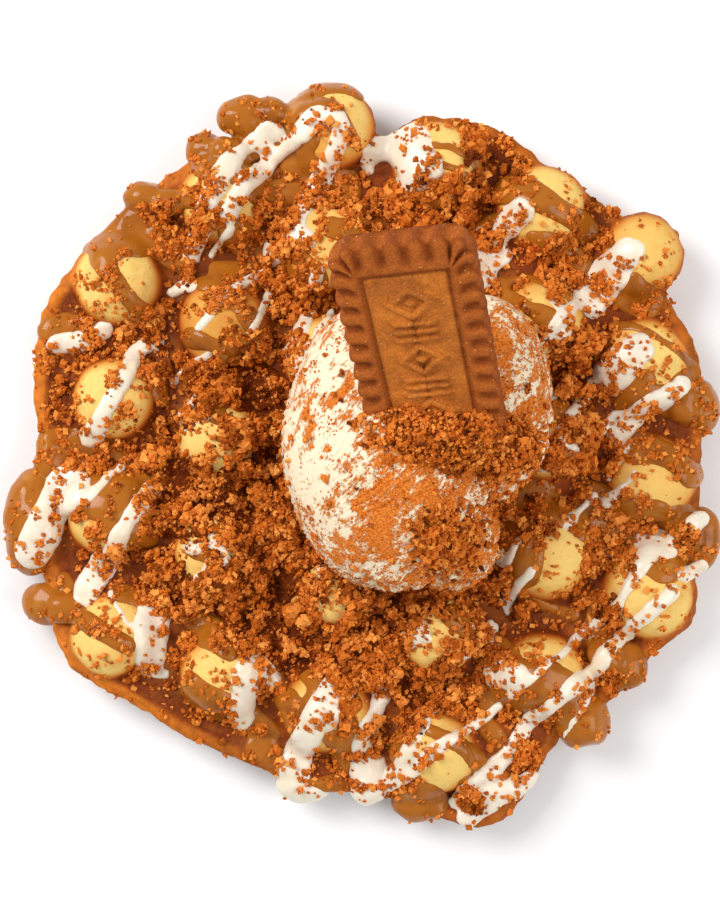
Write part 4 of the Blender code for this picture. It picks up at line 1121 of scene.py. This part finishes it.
class WAFFLE_OT_pour_caramel(bpy.types.Operator):
    """Pours the caramel over the bubbles in thick bands, with drips at the edge"""
    bl_idname = "waffle.pour_caramel"
    bl_label = "Pour the Caramel"

    def execute(self, context):
        settings = context.scene.sauce_settings
        ground = ground_of("waffle_baked")
        caramel = poured("caramel_bands", CARAMEL_STROKES, CARAMEL_DRIPS + CARAMEL_NECKS, ground,
                         deepest=settings.caramel_depth / MM, steepness=0.3, flatness=0.35, waver=0.3,
                         grain=settings.grain, seed=11)
        finish_piece(caramel, "caramel_bands", caramel_finish(settings))
        return {"FINISHED"}


class WAFFLE_OT_pipe_icing(bpy.types.Operator):
    """Pipes the white icing in ropes over the waffle and the caramel"""
    bl_idname = "waffle.pipe_icing"
    bl_label = "Pipe the Icing"

    def execute(self, context):
        settings = context.scene.sauce_settings
        ground = ground_of("waffle_baked", "caramel_bands")
        icing = poured("icing_ropes", ICING_STROKES, ICING_DRIPS, ground,
                       deepest=settings.icing_depth / MM, steepness=0.34, flatness=0.3, waver=0.6,
                       grain=settings.grain, seed=31)
        finish_piece(icing, "icing_ropes", icing_finish(settings))
        return {"FINISHED"}


# ---------------------------------------------------------------- the crumbs


def plan_cover(bare):
    """How thickly crumbs lie: in the heaps, in the valleys between the bubbles, and thinly elsewhere."""
    level = levelled(bare)
    seen_x, seen_y = as_seen(PLAN_X, PLAN_Y, level)
    cover = np.full_like(seen_x, 0.05)
    for (x, y), radius, most in HEAPS:
        away = np.hypot(seen_x - x, seen_y - y)
        cover = np.maximum(cover, most * fading(away, radius * 0.75, radius * 1.35))
    away = np.hypot(PLAN_X, PLAN_Y)
    valley = soft_step(blurred(level, 5.0) - level, 0.5, 3.5) * (1 - 0.5 * soft_step(away, 58, 72))
    valley = valley * fading(away, 78, 88)
    cover = np.maximum(cover, 0.85 * valley * soft_step(plan_lumps(9.0, 72), -0.9, 0.1))
    cover = np.maximum(cover, LEAST_COVER * fading(away, 74, 90))
    for (x, y), radius in CLEARINGS:
        outside = soft_step(np.hypot(seen_x - x, seen_y - y), 0.5 * radius, 1.3 * radius)
        cover = cover * (CLEARED_COVER + (1 - CLEARED_COVER) * outside)
    return cover


def shard_shapes(kind, seed):
    """Rough crumb shapes to be copied, each as points about 1 across and the faces between them."""
    draw = np.random.default_rng(seed)
    shapes = []
    clear_selection()
    bpy.ops.mesh.primitive_cube_add(size=SEEDLING_SIZE)
    seedling = bpy.context.object
    core = points_of(seedling) * MM
    seedling.data.calc_loop_triangles()
    faces = np.array([tuple(face.vertices) for face in seedling.data.loop_triangles])
    bpy.data.objects.remove(seedling)
    for _ in range(SHARDS_OF_A_KIND):
        points, all_faces = [], []
        for index in range({"fine": 1, "medium": draw.integers(3, 5), "coarse": draw.integers(9, 13)}[kind]):
            own = core * draw.uniform(0.5, 1.3, (len(core), 1)) * draw.uniform(0.6, 1.2, 3)
            own = own + draw.uniform(-0.1, 0.1, own.shape)
            own = own @ random_turns(1, draw)[0]
            if kind == "medium":
                own = own * draw.uniform(0.45, 0.72) + draw.uniform(-0.3, 0.3, 3)
            if kind == "coarse":
                own = own * draw.uniform(0.3, 0.55) + draw.uniform(-0.36, 0.36, 3)
            points.append(own)
            all_faces.append(faces + index * len(core))
        shapes.append((np.concatenate(points), np.concatenate(all_faces)))
    return shapes


def random_turns(count, draw):
    """Random rotations, as 3 by 3 matrices."""
    a, b, c, d = draw.normal(size=(4, count))
    size = np.sqrt(a * a + b * b + c * c + d * d)
    a, b, c, d = a / size, b / size, c / size, d / size
    return np.stack((
        np.stack((1 - 2 * (c * c + d * d), 2 * (b * c - a * d), 2 * (b * d + a * c)), -1),
        np.stack((2 * (b * c + a * d), 1 - 2 * (b * b + d * d), 2 * (c * d - a * b)), -1),
        np.stack((2 * (b * d - a * c), 2 * (c * d + a * b), 1 - 2 * (b * b + c * c)), -1)), -2)


def strewn(name, shapes, places, sizes, tones, draw):
    """Copies of the shapes, one at each place, as one piece."""
    kinds = draw.integers(0, len(shapes), len(places))
    turns = random_turns(len(places), draw)
    points, faces, marks, count = [], [], [], 0
    for kind, (shape, shape_faces) in enumerate(shapes):
        here = np.nonzero(kinds == kind)[0]
        turned = np.einsum("nij,pj->npi", turns[here], shape) * sizes[here, None, None] + places[here, None]
        starts = count + np.arange(len(here))[:, None, None] * len(shape)
        points.append(turned.reshape(-1, 3))
        faces.append((shape_faces[None] + starts).reshape(-1, 3))
        marks.append(np.repeat(tones[here], len(shape)))
        count += len(here) * len(shape)
    piece = new_piece(name, np.concatenate(points), np.concatenate(faces))
    mark(piece, "tone_and_shade", np.concatenate(marks))
    return piece


def strew_finished(name, shapes, places, sizes, tone_and_shade, draw, look, darkest=0):
    """Strews copies of the shapes, in tones about a middle with a spread, as one finished piece."""
    tones = np.clip(draw.normal(*tone_and_shade, len(places)), darkest, 1)
    piece = strewn(name, shapes, places, sizes, tones, draw)
    finish_piece(piece, name, look, smooth=False)


def crumb_places(count, tree, ground, draw, least, gather):
    """Places on the pieces under the tree, closer together where the crumbs lie thickly."""
    cover = plan_cover(ground)
    patchy = np.clip(1 + 1.1 * plan_lumps(3.6, 71), 0.06, 2.6) ** 1.4
    patchy = patchy + (0.9 - patchy) * 0.75 * soft_step(cover, 0.5, 0.9)
    patchy = patchy * (0.25 + soft_step(crumb_relief(), -1.2, 0.8))
    sticky = np.where(ground > ground_of("waffle_baked") + 0.15, 0.95, 0.6)
    allowed = (ground > LOWEST_CRUMB) & (cover > least)
    chance = np.where(allowed, cover ** gather * patchy * sticky, 0).ravel()
    found, covers = [], []
    for cell in draw.choice(chance.size, 2 * count, p=chance / chance.sum()):
        x = PLAN_X.flat[cell] + draw.uniform(-0.5, 0.5) * PLAN_STEP
        y = PLAN_Y.flat[cell] + draw.uniform(-0.5, 0.5) * PLAN_STEP
        spot = dropped(tree, x, y)
        if spot is not None and spot.z > LOWEST_CRUMB * MM:
            found.append(np.array(spot) / MM)
            covers.append(cover.flat[cell])
        if len(found) == count:
            break
    return np.array(found), np.array(covers)


def crumb_relief():
    """The heaps' own clumps and gaps, in millimetres."""
    return 1.5 * plan_lumps(3.6, 41) + 0.7 * plan_lumps(1.8, 42) + 0.9 * plan_lumps(7.0, 43)


def tree_of(*names):
    """One tree of the named pieces' faces, for finding what lies under a place."""
    joined_mesh = bmesh.new()
    for name in names:
        joined_mesh.from_mesh(bpy.data.objects[name].data)
    tree = BVHTree.FromBMesh(joined_mesh)
    joined_mesh.free()
    return tree


def bed_heights(ground, bare, relief):
    """How high the heaped crumbs reach: the beds' own slopes, no higher than the valleys let them."""
    bed = np.full_like(PLAN_X, NOWHERE)
    for (x, y), foot, top, height in CRUMB_BEDS:
        away = np.hypot(PLAN_X - x - SHIFT[0], PLAN_Y - y - SHIFT[1])
        slope = np.clip((foot - away) / (foot - top), -1, 1)
        bed = np.maximum(bed, WEB_MIDDLE + (height - WEB_MIDDLE) * slope)
    cover = plan_cover(bare)
    followed = blurred(levelled(bare), BED_BLUR) - BED_SINK + BED_RISE * soft_step(cover, 0.15, 0.95)
    bed = np.minimum(bed, followed)
    thin = ground + (cover - 0.62) * 3.0
    bed = np.maximum(bed, np.where(known(ground), np.minimum(thin, ground + BED_THIN), NOWHERE))
    return bed + relief * soft_step(cover, 0.2, 0.8) - 0.5


class WAFFLE_OT_heap_crumbs(bpy.types.Operator):
    """Heaps the crumbs that fill the valleys between the bubbles"""
    bl_idname = "waffle.heap_crumbs"
    bl_label = "Heap the Crumbs"

    def execute(self, context):
        ground = ground_of("waffle_baked", "caramel_bands", "icing_ropes")
        relief = crumb_relief()
        bed = bed_heights(ground, ground_of("waffle_baked"), relief)
        inside = (bed > ground - 0.7) & known(ground)
        piece = slab("crumb_bed", bed, np.minimum(ground, bed) - 1.0, inside)
        places = points_of(piece)
        at_x = np.rint((places[:, 0] - PLAN_X[0, 0]) / PLAN_STEP).astype(int)
        at_y = np.rint((places[:, 1] - PLAN_Y[0, 0]) / PLAN_STEP).astype(int)
        # The bed's tone is painted shade: 0 where its relief lies lowest, in the gaps between the clumps,
        # rising to 0.42 on the clumps' tops, so the bed stays darker than most loose crumbs.
        mark(piece, "tone_and_shade", 0.42 * soft_step(relief[at_x, at_y], -1.2, 2.0))
        finish_piece(piece, "crumb_bed", crumb_finish(context.scene.crumb_settings), smooth=False)
        return {"FINISHED"}


def clump(middle, radius, draw):
    """The places and sizes of the grains that make up one large crumb."""
    count = int(CHUNK_GRAINS * radius ** 1.6)
    way = draw.normal(size=(count, 3))
    way /= np.linalg.norm(way, axis=1)[:, None]
    places = middle + way * draw.uniform(0.2, 0.72, (count, 1)) * radius * (1.0, 0.85, 0.8)
    return places, draw.uniform(0.3, 0.62, count) * radius ** 0.6 * 2.0


class WAFFLE_OT_strew_crumbs(bpy.types.Operator):
    """Strews loose crumbs over the heaps, the sauces and the bubbles"""
    bl_idname = "waffle.strew_crumbs"
    bl_label = "Strew the Crumbs"

    def execute(self, context):
        settings = context.scene.crumb_settings
        look = bpy.data.objects["crumb_bed"].data.materials[0]
        names = ("waffle_baked", "caramel_bands", "icing_ropes", "crumb_bed")
        tree = tree_of(*names)
        ground = ground_of(*names[:3])
        for kind, count, size, least, gather, seed in (
                ("coarse", settings.coarse_count, settings.coarse_size, 0.6, 1.5, 50),
                ("medium", settings.medium_count, settings.medium_size, 0.0, 1.5, 51),
                ("fine", settings.fine_count, settings.fine_size, 0.0, 0.85, 52)):
            draw = np.random.default_rng(seed)
            places, covers = crumb_places(count, tree, ground, draw, least, gather)
            sizes = size / MM * np.clip(draw.lognormal(-0.08, 0.32, count), 0.5, 1.7)
            sizes = sizes * (1.1 - 0.15 * soft_step(covers, 0.2, 0.9))
            places[:, 2] += sizes * draw.uniform(0.05, 0.35, count)
            # Only crumbs in the thick heaps may take the darkest tones, which paints shade among the heaped
            # crumbs on top of their own random tone. Thinly strewn crumbs stay lighter.
            darkest = 0.3 * fading(covers, 0.2, 0.7)
            shapes = shard_shapes(kind, seed)
            strew_finished(f"crumbs_{kind}", shapes, places, sizes, (0.48, 0.26), draw, look, darkest)
        draw = np.random.default_rng(53)
        places, sizes = [], []
        for (x, y), radius in CHUNKS:
            spot = dropped(tree, x, y)
            middle = np.array(spot) / MM if spot is not None else np.array((x, y, WEB_TOP))
            grain_places, grain_sizes = clump(middle + (0, 0, radius * 0.3), radius, draw)
            places.append(grain_places)
            sizes.append(grain_sizes)
        places, sizes = np.concatenate(places), np.concatenate(sizes)
        strew_finished("crumbs_chunks", shard_shapes("medium", 54), places, sizes, (0.5, 0.16), draw, look)
        return {"FINISHED"}


# ---------------------------------------------------------------- the cream


def cream_dusting(points):
    """How fully dust covers the cream."""
    x, y = as_seen(points[:, 0], points[:, 1], points[:, 2])
    cover = np.full_like(x, 0.46)
    for (middle_x, middle_y), radius, more in DUSTINGS:
        cover = cover + more * np.exp(-((x - middle_x) ** 2 + (y - middle_y) ** 2) / radius ** 2)
    return cover


class WAFFLE_OT_scoop_cream(bpy.types.Operator):
    """Sets the scoop of cream on the bubbles, with the scoop's fine drag lines and a ragged lip"""
    bl_idname = "waffle.scoop_cream"
    bl_label = "Scoop the Cream"

    def execute(self, context):
        settings = context.scene.cream_settings
        balls = [ball(np.array(middle) + SHIFT, half_sizes, 64, 32) for middle, half_sizes in SCOOP_BALLS]
        cream = joined(balls)
        points = points_of(cream)
        points[:, 2] = np.maximum(points[:, 2], SCOOP_FOOT)
        move_points(cream, points)
        modify(cream, "REMESH", mode="VOXEL", voxel_size=settings.grain)
        modify(cream, "SMOOTH", factor=0.5, iterations=10)
        points, normals = points_of(cream), normals_of(cream)
        x, y = points[:, 0], points[:, 1]
        bend = 1.3 * lumps(points, 7.0, 81)
        pitch = settings.ridge_pitch / MM
        left = y * math.cos(0.6) - x * math.sin(0.6) + bend
        right = np.hypot(x - 20, y - 8) + bend
        blend = soft_step(x, 16, 26)
        lines = np.sin(left * math.tau / pitch) * (1 - blend) + np.sin(right * math.tau / pitch) * blend
        lines = lines * soft_step(lumps(points, 9.0, 82), -0.6, 0.6)
        low = 1 - soft_step(points[:, 2], SCOOP_FOOT, SCOOP_FOOT + 2)
        ragged = soft_step(x - y, 22, 42) * (1.0 * lumps(points, 2.6, 83) + 0.6 * lumps(points, 1.3, 84))
        push = settings.ridge_depth / MM * lines + 0.5 * lumps(points, 11.0, 85) + 0.55 * ragged
        points += normals * (push * (1 - low))[:, None]
        move_points(cream, points)
        mark(cream, "dust", cream_dusting(points))
        finish_piece(cream, "cream_scooped", cream_finish(settings))
        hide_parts("cream_scoop")
        return {"FINISHED"}


def strew_dust(count, points, upper, draw, look):
    """Strews tiny flakes of dust on the cream, most where it is dusted most."""
    luck = cream_dusting(points[upper]) + 0.35 * lumps(points[upper], 3.0, 92)
    chance = np.clip(luck - 0.15, 0.01, 1) ** 2.5
    chosen = upper[draw.choice(len(upper), count, p=chance / chance.sum())]
    places = points[chosen] + draw.uniform(-0.25, 0.25, (count, 3))
    sizes = np.clip(draw.lognormal(-0.7, 0.35, count), 0.25, 1.1)
    corners = ((0.5, 0, 0), (-0.4, 0.1, 0), (0, 0.45, 0), (0.1, -0.5, 0), (0, 0, 0.3), (0, 0.05, -0.3))
    faces = ((0, 2, 4), (2, 1, 4), (1, 3, 4), (3, 0, 4), (2, 0, 5), (1, 2, 5), (3, 1, 5), (0, 3, 5))
    flake = (np.array(corners), np.array(faces))
    strew_finished("cream_dust", [flake], places, sizes, (0.55, 0.2), draw, look)


def heap_mound(look):
    """Heaps the crumbs at the biscuit's foot into a lumpy mound."""
    mound = joined([ball(np.array(middle) + SHIFT, half_sizes, 96, 48) for middle, half_sizes in MOUNDS])
    modify(mound, "REMESH", mode="VOXEL", voxel_size=0.6 * MM)
    shape, out = points_of(mound), normals_of(mound)
    move_points(mound, shape + out * (0.9 * lumps(shape, 5.0, 94) + 0.5 * lumps(shape, 2.0, 95))[:, None])
    shape = points_of(mound)
    mark(mound, "tone_and_shade", np.full(len(shape), 0.15) + 0.2 * lumps(shape, 1.5, 96))
    finish_piece(mound, "cream_mound", look)
    return mound


def strew_mound(mound, draw, look):
    """Covers the mound in crumbs."""
    points, normals = points_of(mound), normals_of(mound)
    count = MOUND_CRUMB_COUNT
    chosen = draw.choice(np.nonzero(normals[:, 2] > 0.0)[0], count)
    sizes = np.clip(draw.lognormal(0.16, 0.36, count), 0.6, 2.8)
    places = points[chosen] + draw.uniform(-0.5, 0.5, (count, 3)) + normals[chosen] * (0.15 * sizes)[:, None]
    strew_finished("mound_crumbs", shard_shapes("medium", 97), places, sizes, (0.48, 0.25), draw, look)


def strew_cream(points, normals, upper, draw, look):
    """Strews crumbs on the cream itself, most below the biscuit and at the scoop's lower right."""
    x, y = as_seen(points[:, 0], points[:, 1], points[:, 2])
    heap = np.exp(-(((x - 18) / 19) ** 2 + ((y - 5.5) / 6) ** 2) ** 2)
    heap = heap + 0.8 * np.exp(-(((x - 21) / 10) ** 2 + ((y + 21) / 9) ** 2) ** 2)
    heap = heap + 0.35 * np.exp(-(((x - 34) / 10) ** 2 + ((y + 2) / 12) ** 2)) + 0.04
    chance = heap[upper] ** 1.5
    count = CREAM_CRUMB_COUNT
    chosen = upper[draw.choice(len(upper), count, p=chance / chance.sum())]
    sizes = np.clip(draw.lognormal(0.3, 0.35, count), 0.6, 2.6)
    places = points[chosen] + normals[chosen] * (sizes * draw.uniform(-0.1, 0.5, count))[:, None]
    strew_finished("cream_crumbs", shard_shapes("medium", 93), places, sizes, (0.48, 0.25), draw, look)


class WAFFLE_OT_dust_cream(bpy.types.Operator):
    """Strews dust and coarse crumbs on the cream, heaped at the biscuit's foot"""
    bl_idname = "waffle.dust_cream"
    bl_label = "Dust the Cream"

    def execute(self, context):
        look = bpy.data.objects["crumb_bed"].data.materials[0]
        cream = bpy.data.objects["cream_scooped"]
        draw = np.random.default_rng(91)
        points, normals = points_of(cream), normals_of(cream)
        upper = np.nonzero((points[:, 2] > SCOOP_FOOT + 2) & (normals[:, 2] > -0.2))[0]
        strew_dust(context.scene.cream_settings.dust_count, points, upper, draw, look)
        strew_mound(heap_mound(look), draw, look)
        strew_cream(points, normals, upper, draw, look)
        return {"FINISHED"}


# ---------------------------------------------------------------- the biscuit


def biscuit_place():
    """The matrix that takes the biscuit from flat, with its length along Y and its face up, to the cream."""
    length_way = -BISCUIT_DOWN
    level = length_way.cross(Vector((0, 0, 1))).normalized()
    across = Matrix.Rotation(-BISCUIT_ROLL, 3, length_way) @ level
    face = across.cross(length_way)
    return np.array(Matrix((across, length_way, face)).transposed())


def biscuit_ring(settings, inset, count):
    """Points at even distances round the biscuit's outline, moved inwards by the inset."""
    half_x = settings.short_side / MM / 2
    half_y = settings.long_side / MM / 2
    corner = BISCUIT_CORNER
    quarter = math.pi / 2 * corner
    sides = [2 * (half_y - corner), 2 * (half_x - corner)] * 2
    around = sum(sides) + 4 * quarter
    corners = ((half_x - corner, half_y - corner), (corner - half_x, half_y - corner),
               (corner - half_x, corner - half_y), (half_x - corner, corner - half_y))
    places, out_ways = [], []
    for index in range(count):
        along = around * index / count
        for side in range(4):
            turn = math.pi / 2 * side
            out = np.array((math.cos(turn), math.sin(turn)))
            if along < sides[side]:
                place = np.array(corners[side - 1]) + np.array((-out[1], out[0])) * along + out * corner
                break
            along -= sides[side]
            if along < quarter:
                bend = turn + along / corner
                out = np.array((math.cos(bend), math.sin(bend)))
                place = np.array(corners[side]) + out * corner
                break
            along -= quarter
        places.append(place)
        out_ways.append(out)
    places, out_ways = np.array(places), np.array(out_ways)
    if inset <= corner:
        return places - out_ways * inset
    squared = places - out_ways * corner
    inner = np.array((half_x - inset, half_y - inset))
    return np.clip(squared * (inner / (half_x - corner, half_y - corner)), -inner, inner)


def loft(name, rings):
    """A closed shell through rings of points that have the same count, from its bottom to its top."""
    count = len(rings[0])
    clear_selection()
    bpy.ops.mesh.primitive_grid_add(x_subdivisions=count, y_subdivisions=len(rings) - 1, size=1.0)
    shell = bpy.context.object
    shell.name = name
    move_points(shell, np.concatenate([np.concatenate((ring, ring[:1])) for ring in rings]))
    bpy.ops.object.mode_set(mode="EDIT")
    bpy.ops.mesh.select_all(action="SELECT")
    bpy.ops.mesh.remove_doubles(threshold=0.00001)
    bpy.ops.mesh.select_all(action="DESELECT")
    bpy.ops.mesh.select_mode(type="EDGE")
    bpy.ops.mesh.select_non_manifold(extend=False)
    bpy.ops.mesh.edge_face_add()
    bpy.ops.mesh.select_all(action="SELECT")
    bpy.ops.mesh.normals_make_consistent(inside=False)
    bpy.ops.object.mode_set(mode="OBJECT")
    return shell


def panel_relief(x, y):
    """A plain raised ornament for the sunken panel: lozenges with short bars between them."""
    raised = np.zeros_like(x)
    for middle in LOZENGE_MIDDLES:
        size = np.abs(x) / LOZENGE_HALF[0] + np.abs(y - middle) / LOZENGE_HALF[1]
        raised = np.maximum(raised, fading(np.abs(size - 0.8), 0.12, 0.36))
        raised = np.maximum(raised, fading(size, 0.15, 0.4))
    for middle, offset in itertools.product(BAR_MIDDLES, BAR_OFFSETS):
        across = np.maximum(np.abs(x) - BAR_HALF, 0)
        raised = np.maximum(raised, fading(np.hypot(across, y - middle - offset), 0.35, 1.0))
    return raised


def biscuit_profile(half, drop):
    """How far in and how high the biscuit's rings lie, from its underside over its edge to its panel."""
    border = BISCUIT_BORDER
    profile = [(12.0, -half), (6.0, -half), (2.0, -half), (1.0, -half + 0.1), (0.35, -half + 0.5),
               (0.05, -half + 1.2), (0.0, -half + 2.2), (0.0, 0.0), (0.0, half - 2.0), (0.1, half - 1.2),
               (0.35, half - 0.6), (0.7, half - 0.25), (1.2, half - 0.06)]
    profile += [(1.2 + 0.45 * step, half) for step in range(1, 9)]
    profile += [(border - 0.9, half - 0.05), (border - 0.5, half - 0.25), (border - 0.15, half - 0.7 * drop),
                (border + 0.2, half - drop - 0.3), (border + 0.6, half - drop - 0.3)]
    profile += [(border + 0.6 + 0.4 * step, half - drop) for step in range(1, 23)]
    return profile + [(15.72, half - drop)]


def biscuit_rings(settings, half, drop):
    """The biscuit's rings of points while it lies flat, ribbed on its border and raised by the ornament."""
    border = BISCUIT_BORDER
    around = 2 * (settings.short_side + settings.long_side)
    waves = round(around / settings.rib_pitch)
    groove = 0.5 - 0.5 * np.cos(np.arange(RING_POINTS) * math.tau * waves / RING_POINTS)
    rings = []
    for inset, height in biscuit_profile(half, drop):
        ring = biscuit_ring(settings, inset, RING_POINTS)
        inset = np.array(inset)
        more = BORDER_MORE_AT_ENDS * soft_step(inset, 2.0, border)
        ring[:, 1] *= 1 - more / (settings.long_side / MM / 2 - inset)
        flat = np.concatenate((ring, np.full((RING_POINTS, 1), height)), 1)
        if height > -half + 0.5 and inset < border - 0.5:
            on_top = fading(inset, border - 2.4, border - 0.5)
            flat[:, 2] -= settings.rib_depth / MM * groove ** 1.5 * on_top * (height > 0.5)
            flat[:, :2] *= 1 - 0.032 * groove[:, None] * fading(inset, 0.3, 2.5)
        if inset > border:
            flat[:, 2] += ORNAMENT_RISE * panel_relief(flat[:, 0], flat[:, 1])
        rings.append(flat)
    return rings


def mark_biscuit(shell, flat, settings, half, drop):
    """Marks the biscuit's border, where it is well baked (its edge and its underside), and painted shade in
    its hollows: the rib grooves, the ornament's sides and the foot of the panel's rim.
    """
    beside_x = np.abs(flat[:, 0]) - settings.short_side / MM / 2
    beside_y = np.abs(flat[:, 1]) - settings.long_side / MM / 2
    on_border = (beside_x > -BISCUIT_BORDER) | (beside_y > -BISCUIT_BORDER - BORDER_MORE_AT_ENDS)
    reach = np.maximum(beside_x + 1.3, beside_y + 1.3)
    below = half - flat[:, 2]
    # Painted shade in the hollows: the border darker wherever its top dips, mostly in the rib grooves, the
    # raised ornament darker on its sides, and the trench at the foot of the panel's rim darkest.
    dents = soft_step(below, 0.1, 1.0) * on_border * (below < 1.6)
    raised = np.clip((drop - below) / ORNAMENT_RISE, 0, 1) * ~on_border
    dents = np.maximum(dents * 0.6, 0.5 * (1 - np.abs(2 * raised - 1)) * (raised > 0))
    dents = np.maximum(dents, 0.7 * soft_step(below, drop + 0.1, drop + 0.25) * (below < drop + 0.5))
    worn = soft_step(reach, 0.1, 1.4) * 0.7 + (flat[:, 2] < -2.6) * 0.4
    mark(shell, "border", np.where(on_border, 0.85, 0.0))
    # The edge mark joins the well baked outer edge and underside with the painted shade in the hollows.
    mark(shell, "edge", np.clip(np.maximum(worn, dents), 0, 0.8))


class WAFFLE_OT_press_biscuit(bpy.types.Operator):
    """Sticks the biscuit in the cream: a ribbed border round a sunken panel with a plain ornament"""
    bl_idname = "waffle.press_biscuit"
    bl_label = "Press in the Biscuit"

    def execute(self, context):
        settings = context.scene.biscuit_settings
        half = settings.thickness / MM / 2
        drop = settings.panel_depth / MM
        shell = loft("biscuit_pressed", biscuit_rings(settings, half, drop))
        flat = points_of(shell)
        mark_biscuit(shell, flat, settings, half, drop)
        points = flat.copy()
        points[:, 2] += 0.15 * lumps(flat, 2.0, 101) + 0.25 * lumps(flat, 14.0, 102)
        middle = BISCUIT_TOP_END + BISCUIT_DOWN * (settings.long_side / MM / 2)
        move_points(shell, points @ biscuit_place().T + np.array(middle) + SHIFT)
        finish_piece(shell, "biscuit_pressed", biscuit_finish(settings))
        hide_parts("biscuit")
        return {"FINISHED"}


# ---------------------------------------------------------------- the stage


class WAFFLE_OT_set_stage(bpy.types.Operator):
    """Sets up the pale floor, the soft lights and the camera straight above"""
    bl_idname = "waffle.set_stage"
    bl_label = "Set the Stage"

    def execute(self, context):
        scene = context.scene
        settings = scene.stage_settings
        clear_selection()
        bpy.ops.mesh.primitive_plane_add(size=4.0)
        floor = bpy.context.object
        floor.name = "floor"
        look = Finish("pale floor", rough=0.9, specular=0.1)
        look.colour(look.ramp(look.noise(300.0, 2.0), (0.3, settings.floor_colour),
                              (0.7, [0.99 * channel for channel in settings.floor_colour])))
        floor.data.materials.append(look.material)
        world = bpy.data.worlds.new("soft sky")
        world.use_nodes = True
        background = world.node_tree.nodes["Background"]
        background.inputs["Color"].default_value = (1.0, 1.0, 1.0, 1.0)
        background.inputs["Strength"].default_value = settings.sky
        scene.world = world
        for name, power, place, size in (("key", settings.key_power, (-0.38, 0.26, 0.46), 0.34),
                                         ("fill", settings.fill_power, (0.42, -0.1, 0.42), 0.4)):
            bpy.ops.object.light_add(type="AREA", location=place)
            light = bpy.context.object
            light.name = f"{name}_light"
            light.data.energy = power
            light.data.size = size
            light.rotation_euler = (-Vector(place)).to_track_quat("-Z", "Y").to_euler()
        x, y = VIEW_MIDDLE
        above = (x * MM, y * MM, (VIEW_HEIGHT + WEB_MIDDLE) * MM)
        bpy.ops.object.camera_add(location=above, rotation=(0, 0, 0))
        camera = bpy.context.object
        camera.name = "camera_above"
        camera.data.lens = 64
        camera.data.sensor_width = 36
        camera.data.clip_start = 0.01
        scene.camera = camera
        scene.view_settings.view_transform = "Standard"
        return {"FINISHED"}


# ---------------------------------------------------------------- the add-on


class WAFFLE_PT_panel(bpy.types.Panel):
    """The waffle's pieces, in the order in which they are made"""
    bl_idname = "WAFFLE_PT_panel"
    bl_label = "Bubble Waffle"
    bl_space_type = "VIEW_3D"
    bl_region_type = "UI"
    bl_category = "Waffle"

    def draw(self, context):
        for operator in OPERATORS:
            self.layout.operator(operator.bl_idname)


SETTINGS = {
    "waffle_settings": WaffleSettings, "sauce_settings": SauceSettings, "crumb_settings": CrumbSettings,
    "cream_settings": CreamSettings, "biscuit_settings": BiscuitSettings, "stage_settings": StageSettings,
}
OPERATORS = (
    WAFFLE_OT_set_stage, WAFFLE_OT_bake, WAFFLE_OT_pour_caramel, WAFFLE_OT_pipe_icing, WAFFLE_OT_heap_crumbs,
    WAFFLE_OT_strew_crumbs, WAFFLE_OT_scoop_cream, WAFFLE_OT_dust_cream, WAFFLE_OT_press_biscuit,
)


def register():
    for kind in (*SETTINGS.values(), *OPERATORS, WAFFLE_PT_panel):
        bpy.utils.register_class(kind)
    for name, kind in SETTINGS.items():
        setattr(bpy.types.Scene, name, bpy.props.PointerProperty(type=kind))


def unregister():
    for name in SETTINGS:
        delattr(bpy.types.Scene, name)
    for kind in (WAFFLE_PT_panel, *OPERATORS, *SETTINGS.values()):
        bpy.utils.unregister_class(kind)


def main():
    register()
    bpy.ops.waffle.set_stage()
    bpy.ops.waffle.bake()
    bpy.ops.waffle.pour_caramel()
    bpy.ops.waffle.pipe_icing()
    bpy.ops.waffle.heap_crumbs()
    bpy.ops.waffle.strew_crumbs()
    bpy.ops.waffle.scoop_cream()
    bpy.ops.waffle.dust_cream()
    bpy.ops.waffle.press_biscuit()


if __name__ == "__main__":
    main()
